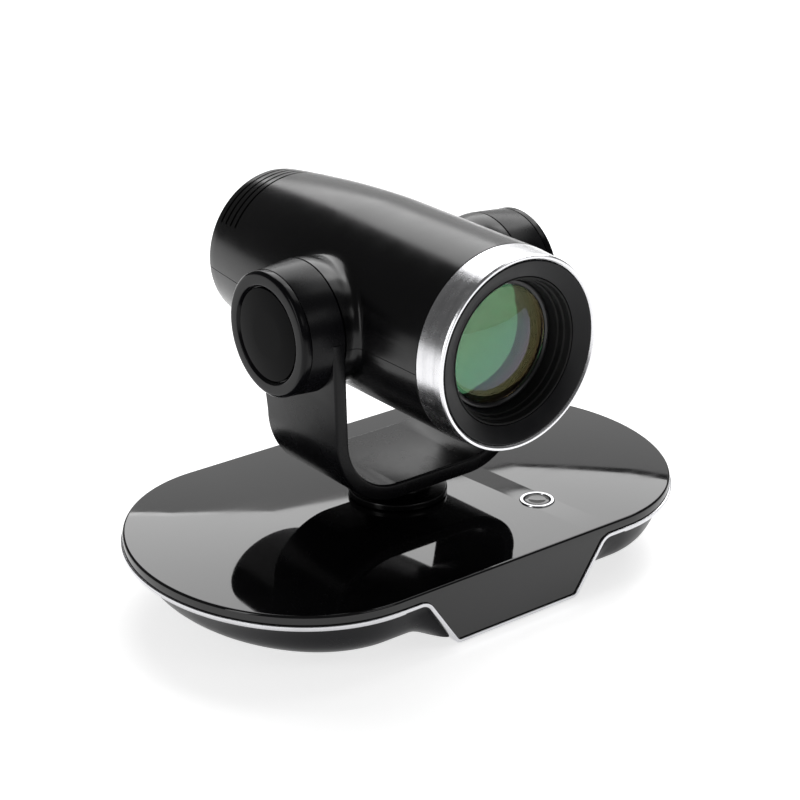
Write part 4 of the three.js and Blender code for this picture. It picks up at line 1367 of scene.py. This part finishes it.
# ---------------------------------------------------------------- the head
class Head:
    """The barrel head with its side flanges, its rear cover, the front ring and the lens."""

    taper_start = 0.008
    taper_power = 1.75
    wall = 0.0024
    flare = 0.0052
    squeeze = 0.88
    vent_count = 4
    vent_first = 0.005
    vent_pitch = 0.0042
    vent_width = 0.0013
    vent_depth = 0.0009
    second_radius = 0.0236
    second_back = 0.0548
    second_rim = 0.0004
    second_crown = 0.0032

    def __init__(self, finishes: Finishes) -> None:
        """Measures the frame.

        Args:
            finishes: the camera's finishes.
        """
        self.finishes = finishes
        upper = Extent.of("head_upper_shell")
        self.box = Extent.of("head_upper_shell", "head_lower_shell")
        self.seam_top = upper.low.z
        self.seam_low = Extent.of("head_lower_shell").high.z
        self.axis = Vector((0.0, 0.0, HEAD_AXIS.z))
        self.radius = self.box.size.z / 2
        self.front = -self.box.low.y
        self.back = -self.box.high.y
        self.rear_radius = Extent.of("rear_cover").size.z / 2 + 0.0033
        self.hub_radius = Extent.of("hub_housing_right").size.z / 2
        self.flange_end = self.box.high.x

    def build(self) -> None:
        """Builds every piece of the head."""
        self.build_shells()
        self.build_rear()
        self.build_front()
        self.build_lens()

    def barrel(self, ahead: float) -> float:
        """Gives the barrel's radius.

        Args:
            ahead: the distance ahead of the tilt axis.

        Returns:
            The radius.
        """
        behind = max(-self.taper_start - ahead, 0.0) / (-self.back - self.taper_start)
        return self.radius - (self.radius - self.rear_radius) * behind**self.taper_power

    def flange(self, side: Side) -> bpy.types.Object:
        """Builds the flange that runs softly from a hub into the barrel.

        Args:
            side: which side.

        Returns:
            The flange.
        """
        maker = bmesh.new()
        upright = Matrix.Translation((self.flange_end, 0, 0)) @ Matrix.Rotation(math.pi / 2, 4, "Y")
        made = bmesh.ops.create_circle(
            maker, cap_ends=True, radius=self.hub_radius, segments=ROUND_STEPS, matrix=upright
        )
        cap = made["verts"][0].link_faces[:]
        bearing = maker.verts.layers.float.new("bearing")
        for vert in maker.verts:
            vert[bearing] = math.atan2(vert.co.z, vert.co.y)
        steps = 14
        wide = self.hub_radius + self.flare
        for step in range(1, steps + 2):
            grown = bmesh.ops.extrude_face_region(maker, geom=cap)
            if step > 1:
                bmesh.ops.delete(maker, geom=[face for face in cap if face.is_valid], context="FACES_ONLY")
            cap = [item for item in grown["geom"] if isinstance(item, bmesh.types.BMFace)]
            for vert in cap[0].verts:
                vert.co = self.flange_point(vert[bearing], min(step / steps, 1.0), wide)
                if step > steps:
                    vert.co = Vector((0.018, vert.co.y * 0.55, vert.co.z * 0.55))
        bmesh.ops.reverse_faces(maker, faces=maker.faces[:])
        if side is Side.LEFT:
            bmesh.ops.scale(maker, vec=(-1, 1, 1), verts=maker.verts)
        bmesh.ops.translate(maker, verts=maker.verts, vec=self.axis)
        return finished(maker, "flange")

    def flange_point(self, angle: float, share: float, wide: float) -> Vector:
        """Gives a point of the flange, about the tilt axis.

        Args:
            angle: the place round the flange, from behind upwards.
            share: 0 at the hub, 1 where it meets the barrel.
            wide: the flange's radius where it meets the barrel.

        Returns:
            The point.
        """
        across, rise = math.cos(angle), math.sin(angle)
        start = Vector((self.flange_end, self.hub_radius * across, self.hub_radius * rise))
        foot_y, foot_z = wide * across, wide * self.squeeze * rise
        barrel = self.barrel(-foot_y) - 0.00012
        foot_x = math.sqrt(barrel**2 - foot_z**2)
        end = Vector((foot_x, foot_y, foot_z))
        leave = Vector((-1.0, 0.0, 0.0))
        arrive = Vector((-rise * foot_z / barrel, across, rise * foot_x / barrel)).normalized()
        reach = (end - start).length
        begin = Vector((self.flange_end - 0.0005, start.y, start.z))
        one, two = begin + leave * reach * 0.5, end - arrive * reach * 0.5
        rest = 1 - share
        return begin * rest**3 + one * 3 * rest**2 * share + two * 3 * rest * share**2 + end * share**3

    def build_shells(self) -> None:
        """Builds the two barrel shells with their flanges, vents and rooms."""
        steps = 28
        outer: list[Point2] = [(0.0, self.back)]
        rim = softened([(0.0, self.back, 0), (self.rear_radius, self.back, 0.0014),
                        (self.barrel(self.back + 0.006), self.back + 0.006, 0)])[1:-1]
        outer += rim
        for step in range(1, steps + 1):
            ahead = self.back + 0.003 + (-self.taper_start - self.back - 0.003) * step / steps
            outer.append((self.barrel(ahead), ahead))
        outer.append((self.radius, self.front - 0.0002))
        outer.append((self.radius - 0.0002, self.front))
        inner = [(self.radius - self.wall, self.front)]
        for step in range(steps, -1, -4):
            ahead = self.back + 0.002 + (-self.taper_start - self.back - 0.002) * step / steps
            inner.append((self.barrel(ahead) - self.wall, ahead))
        inner.append((0.0, self.back + 0.002))
        shell = turned("upper_barrel_shell", outer + inner, AHEAD, self.axis, steps=160)
        for side in Side:
            carve(shell, self.flange(side), Cut.JOIN)
        room, end = self.hub_radius - self.wall, self.flange_end - self.wall
        hole = Extent.of("tilt_shaft_right").size.z / 2 + GAP
        through = [
            (0.0, -0.08), (hole, -0.08), (hole, -end), (room, -end), (room, end), (hole, end),
            (hole, 0.08), (0.0, 0.08),
        ]
        carve(shell, turned("room", through, RIGHT, self.axis), Cut.AWAY)
        bore = self.radius - self.wall
        barrel_room = [
            (0.0, self.back + 0.004), (self.rear_radius - self.wall, self.back + 0.004),
            (bore, -self.taper_start), (bore, self.front + 0.002), (0.0, self.front + 0.002),
        ]
        carve(shell, turned("barrel_room", barrel_room, AHEAD, self.axis), Cut.AWAY)
        cover = Extent.of("rear_cover")
        recess = cover.size.z / 2 + GAP
        rear = [(0.0, self.back - 0.002), (recess, self.back - 0.002), (recess, self.back + 0.003),
                (0.0, self.back + 0.003)]
        carve(shell, turned("rear_recess", rear, AHEAD, self.axis), Cut.AWAY)
        lower = shell.copy()
        lower.data = shell.data.copy()
        lower.name = "lower_barrel_shell"
        bpy.context.scene.collection.objects.link(lower)
        far = 0.2
        carve(shell, brick("below", (-far, -far, -far), (far, far, self.seam_top)), Cut.AWAY)
        carve(lower, brick("above", (-far, -far, self.seam_low), (far, far, far + self.seam_low)), Cut.AWAY)
        for index in range(self.vent_count):
            carve(shell, self.vent(index), Cut.AWAY)
        fit(shell, "head", "satin_black", self.finishes.body, "head_upper_shell")
        fit(lower, "head", "satin_black", self.finishes.body, "head_lower_shell")

    def vent(self, index: int) -> bpy.types.Object:
        """Makes the body of one vent groove over the top of the rear end.

        Args:
            index: which groove, from the back.

        Returns:
            The groove's body.
        """
        ahead = self.back + self.vent_first + index * self.vent_pitch
        half = self.vent_width / 2
        floor = self.barrel(ahead) - self.vent_depth
        outline = [(floor, ahead - half), (floor + 0.004, ahead - half), (floor + 0.004, ahead + half),
                   (floor, ahead + half)]
        span = math.radians(120)
        return turned(
            "vent", outline, AHEAD, self.axis, closed=True, steps=60, angle=span, from_angle=-span / 2
        )

    def build_rear(self) -> None:
        """Turns the rear cover with a shallow ring groove."""
        box = Extent.of("rear_cover")
        radius = box.size.z / 2
        low, high = -box.high.y, -box.low.y
        outline = softened([
            (0.0, low, 0), (radius * 0.66, low, 0.0003), (radius * 0.68, low + 0.0005, 0.0002),
            (radius * 0.7, low, 0.0003), (radius, low, 0.0006), (radius, high, 0), (0.0, high, 0),
        ])
        piece = turned("rear_lid", outline, AHEAD, self.axis)
        fit(piece, "head", "dark_grey_plastic", self.finishes.bezel, "rear_cover")

    def build_front(self) -> None:
        """Turns the bright ring, the bezel and the black throat."""
        ring = Extent.of("front_ring")
        bezel = Extent.of("bezel")
        throat = Extent.of("baffle")
        keeper = Extent.of("lens_retaining_ring")
        low, high = -ring.high.y, -ring.low.y
        inner = bezel.size.z / 2 + GAP
        outline = softened([
            (inner, low, 0), (self.radius, low, 0.0002), (self.radius - 0.0009, high - 0.001, 0.0004),
            (self.radius - 0.00135, high, 0.0003), (inner + 0.0008, high, 0.0003),
            (inner, high - 0.0008, 0.0002),
        ], closed=True)
        piece = turned("bright_front_ring", outline, AHEAD, self.axis, closed=True, steps=192)
        fit(piece, "head", "turned_aluminium", self.finishes.ring, "front_ring")
        outer, low, high = bezel.size.z / 2, -bezel.high.y, -bezel.low.y
        opening = throat.size.z / 2 - 0.002
        lip = -throat.low.y
        outline = softened([
            (outer, low, 0), (outer, high, 0.0003), (opening, lip, 0.0003), (opening, lip - 0.002, 0),
            (outer - 0.002, high - 0.0026, 0), (outer - 0.002, low, 0),
        ], closed=True)
        piece = turned("cone_bezel", outline, AHEAD, self.axis, closed=True, steps=192)
        fit(piece, "head", "dark_grey_plastic", self.finishes.bezel, "bezel")
        mouth = opening - 0.0003
        bore = keeper.size.z / 2 + GAP
        floor = -throat.high.y
        step = -keeper.low.y - 0.0002
        outline = softened([
            (opening + 0.002, floor, 0), (opening + 0.002, lip - 0.0055, 0), (mouth, lip - 0.0055, 0),
            (mouth, lip, 0.0002), (mouth - 0.0008, lip - 0.0004, 0.0002),
            (mouth - 0.0013, lip - 0.003, 0.0002),
            (mouth - 0.0021, lip - 0.0034, 0.00025), (mouth - 0.0022, lip - 0.006, 0.0002),
            (mouth - 0.0029, lip - 0.0062, 0.00025), (bore, step, 0.0002), (bore, floor, 0),
        ], closed=True, steps=4)
        piece = turned("black_throat", outline, AHEAD, self.axis, closed=True, steps=160)
        fit(piece, "head", "matte_black", self.finishes.matte, "baffle")
        outer, low, high = keeper.size.z / 2, -keeper.high.y, -keeper.low.y
        inner = LENS_BOX.size.z / 2 + GAP
        outline = softened([
            (inner, low, 0), (outer, low, 0), (outer, high, 0.00025), (inner + 0.0008, high, 0.0002),
            (inner, high - 0.0006, 0.0002),
        ], closed=True, steps=4)
        piece = turned("lens_keeper_ring", outline, AHEAD, self.axis, closed=True, steps=160)
        fit(piece, "head", "dark_grey_plastic", self.finishes.step, "lens_retaining_ring")

    def build_lens(self) -> None:
        """Turns the front lens, and the fixed coated element behind it, whose reflections are partly painted.
        """
        radius = LENS_BOX.size.z / 2
        low, high = -LENS_BOX.high.y, -LENS_BOX.low.y
        rim = low + 0.006
        sag = high - rim
        curve = (radius**2 + sag**2) / (2 * sag)
        steps = 24
        front = [(radius * (1 - step / steps), 0.0) for step in range(steps + 1)]
        dome = [(reach, high - curve + math.sqrt(curve**2 - reach**2)) for reach, _ in front]
        hollow = [
            (radius * 0.86 * step / steps, low + 0.0012 * (1 - (step / steps) ** 2))
            for step in range(steps + 1)
        ]
        outline = [*hollow, (radius, low), *dome]
        piece = turned("front_lens_glass", outline, AHEAD, self.axis, steps=160)
        fit(piece, "head", "lens_glass", self.finishes.glass, "front_lens")
        reach, back, crown = self.second_radius, self.second_back, self.second_crown
        rim = back + self.second_rim
        dome = [
            (reach * (1 - step / steps), rim + crown * (1 - (1 - step / steps) ** 2))
            for step in range(steps + 1)
        ]
        outline = [(0.0, back), (reach, back), *dome]
        piece = turned("second_lens", outline, AHEAD, self.axis, steps=160)
        fit(piece, "head", "lens_glass", self.finishes.green)


# ---------------------------------------------------------------- the studio
@dataclass(frozen=True)
class SoftLight:
    """A soft rectangular light, placed by direction and distance and aimed at the camera."""

    name: str
    azimuth: float
    elevation: float
    distance: float
    size: tuple[float, float]
    glow: float

    def place(self) -> Vector:
        """Gives its place; azimuth 0 is straight behind, and grows towards the right."""
        turn, rise = math.radians(self.azimuth), math.radians(self.elevation)
        flat = self.distance * math.cos(rise)
        return Vector((flat * math.sin(turn), flat * math.cos(turn), self.distance * math.sin(rise)))

    def hang(self, aim: Vector) -> None:
        """Puts it in the scene.

        Args:
            aim: what it points at.
        """
        light = bpy.data.lights.new(self.name, "AREA")
        light.shape = "RECTANGLE"
        light.size, light.size_y = self.size
        light.energy = self.glow * math.pi * self.size[0] * self.size[1]
        lamp = bpy.data.objects.new(self.name, light)
        lamp.location = self.place()
        lamp.rotation_euler = (aim - lamp.location).to_track_quat("-Z", "Y").to_euler()
        bpy.context.scene.collection.objects.link(lamp)


LIGHTS = (
    SoftLight("high_back", 44, 46, 1.6, (1.5, 1.15), 3.4),
    SoftLight("low_card", 38, 15.2, 2.1, (1.7, 0.77), 0.75),
    SoftLight("high_right", 92, 58, 1.7, (0.9, 0.8), 1.6),
    SoftLight("left_strip", -98, 24, 1.3, (0.3, 0.9), 2.6),
    SoftLight("front_fill", 165, 35, 1.7, (0.7, 0.4), 1.3),
)
LIGHT_AIM = Vector((0.0, 0.0, 0.08))
VIEW_PLACE = Vector((-0.548412, -0.701855, 0.456145))
VIEW_BACK = Vector((-0.566895, -0.723698, 0.393564))
VIEW_LENS = 99.939
WORLD_GLOW = 0.1
FLOOR_GLOW = 0.72


class Studio:
    """The pale floor, the soft lights and the camera."""

    def __init__(self) -> None:
        """Builds the whole studio."""
        self.build_floor()
        self.build_world()
        self.build_lights()
        self.build_camera()

    @staticmethod
    def build_floor() -> None:
        """Lays a wide pale floor just under the feet."""
        maker = bmesh.new()
        bmesh.ops.create_grid(maker, x_segments=2, y_segments=2, size=6.0)
        bmesh.ops.translate(maker, verts=maker.verts, vec=(0, 0, CAD_BOUNDS[0][2] - 0.00005))
        floor = finished(maker, "studio_floor", smooth=False)
        shader = Shader("floor_paper")
        shader.set(Roughness=0.9, Specular_IOR_Level=0.1, Emission_Strength=FLOOR_GLOW)
        shader.set(Emission_Color=(1.0, 1.0, 1.0, 1.0))
        tones = [(0.3, (0.9, 0.9, 0.9)), (0.7, (0.93, 0.93, 0.93))]
        colour = shader.shades(shader.noise(shader.place(), 3.0), tones)
        shader.link(colour, shader.surface.inputs["Base Color"])
        dress(floor, shader.material)

    @staticmethod
    def build_world() -> None:
        """Fills the surroundings with faint even light."""
        world = bpy.data.worlds.new("studio")
        world.use_nodes = True
        background = world.node_tree.nodes["Background"]
        background.inputs["Color"].default_value = (1.0, 1.0, 1.0, 1.0)
        background.inputs["Strength"].default_value = WORLD_GLOW
        bpy.context.scene.world = world

    @staticmethod
    def build_lights() -> None:
        """Hangs the lights: a great soft one over a dim card behind, and faint ones all round."""
        for light in LIGHTS:
            light.hang(LIGHT_AIM)

    @staticmethod
    def build_camera() -> None:
        """Sets the camera ahead of the left front corner, a little above."""
        data = bpy.data.cameras.new("view")
        data.lens = VIEW_LENS
        data.sensor_width = 36.0
        data.clip_start, data.clip_end = 0.05, 20.0
        view = bpy.data.objects.new("view", data)
        back = VIEW_BACK.normalized()
        right = UP.cross(back).normalized()
        turn = Matrix((right, back.cross(right), back)).transposed()
        view.matrix_world = Matrix.Translation(VIEW_PLACE) @ turn.to_4x4()
        bpy.context.scene.collection.objects.link(view)
        bpy.context.scene.camera = view


def main() -> None:
    """Builds the camera and its studio; each fitted piece logs its face count."""
    logging.basicConfig(level=logging.INFO, format="%(message)s")
    bpy.context.scene.view_settings.view_transform = "Standard"
    finishes = Finishes()
    Base(finishes).build()
    Yoke(finishes).build()
    Head(finishes).build()
    for material, nodes in finishes.for_nodes().items():
        for node in nodes:
            dress(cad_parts[node], material)
    Studio()


if __name__ == "__main__":
    main()
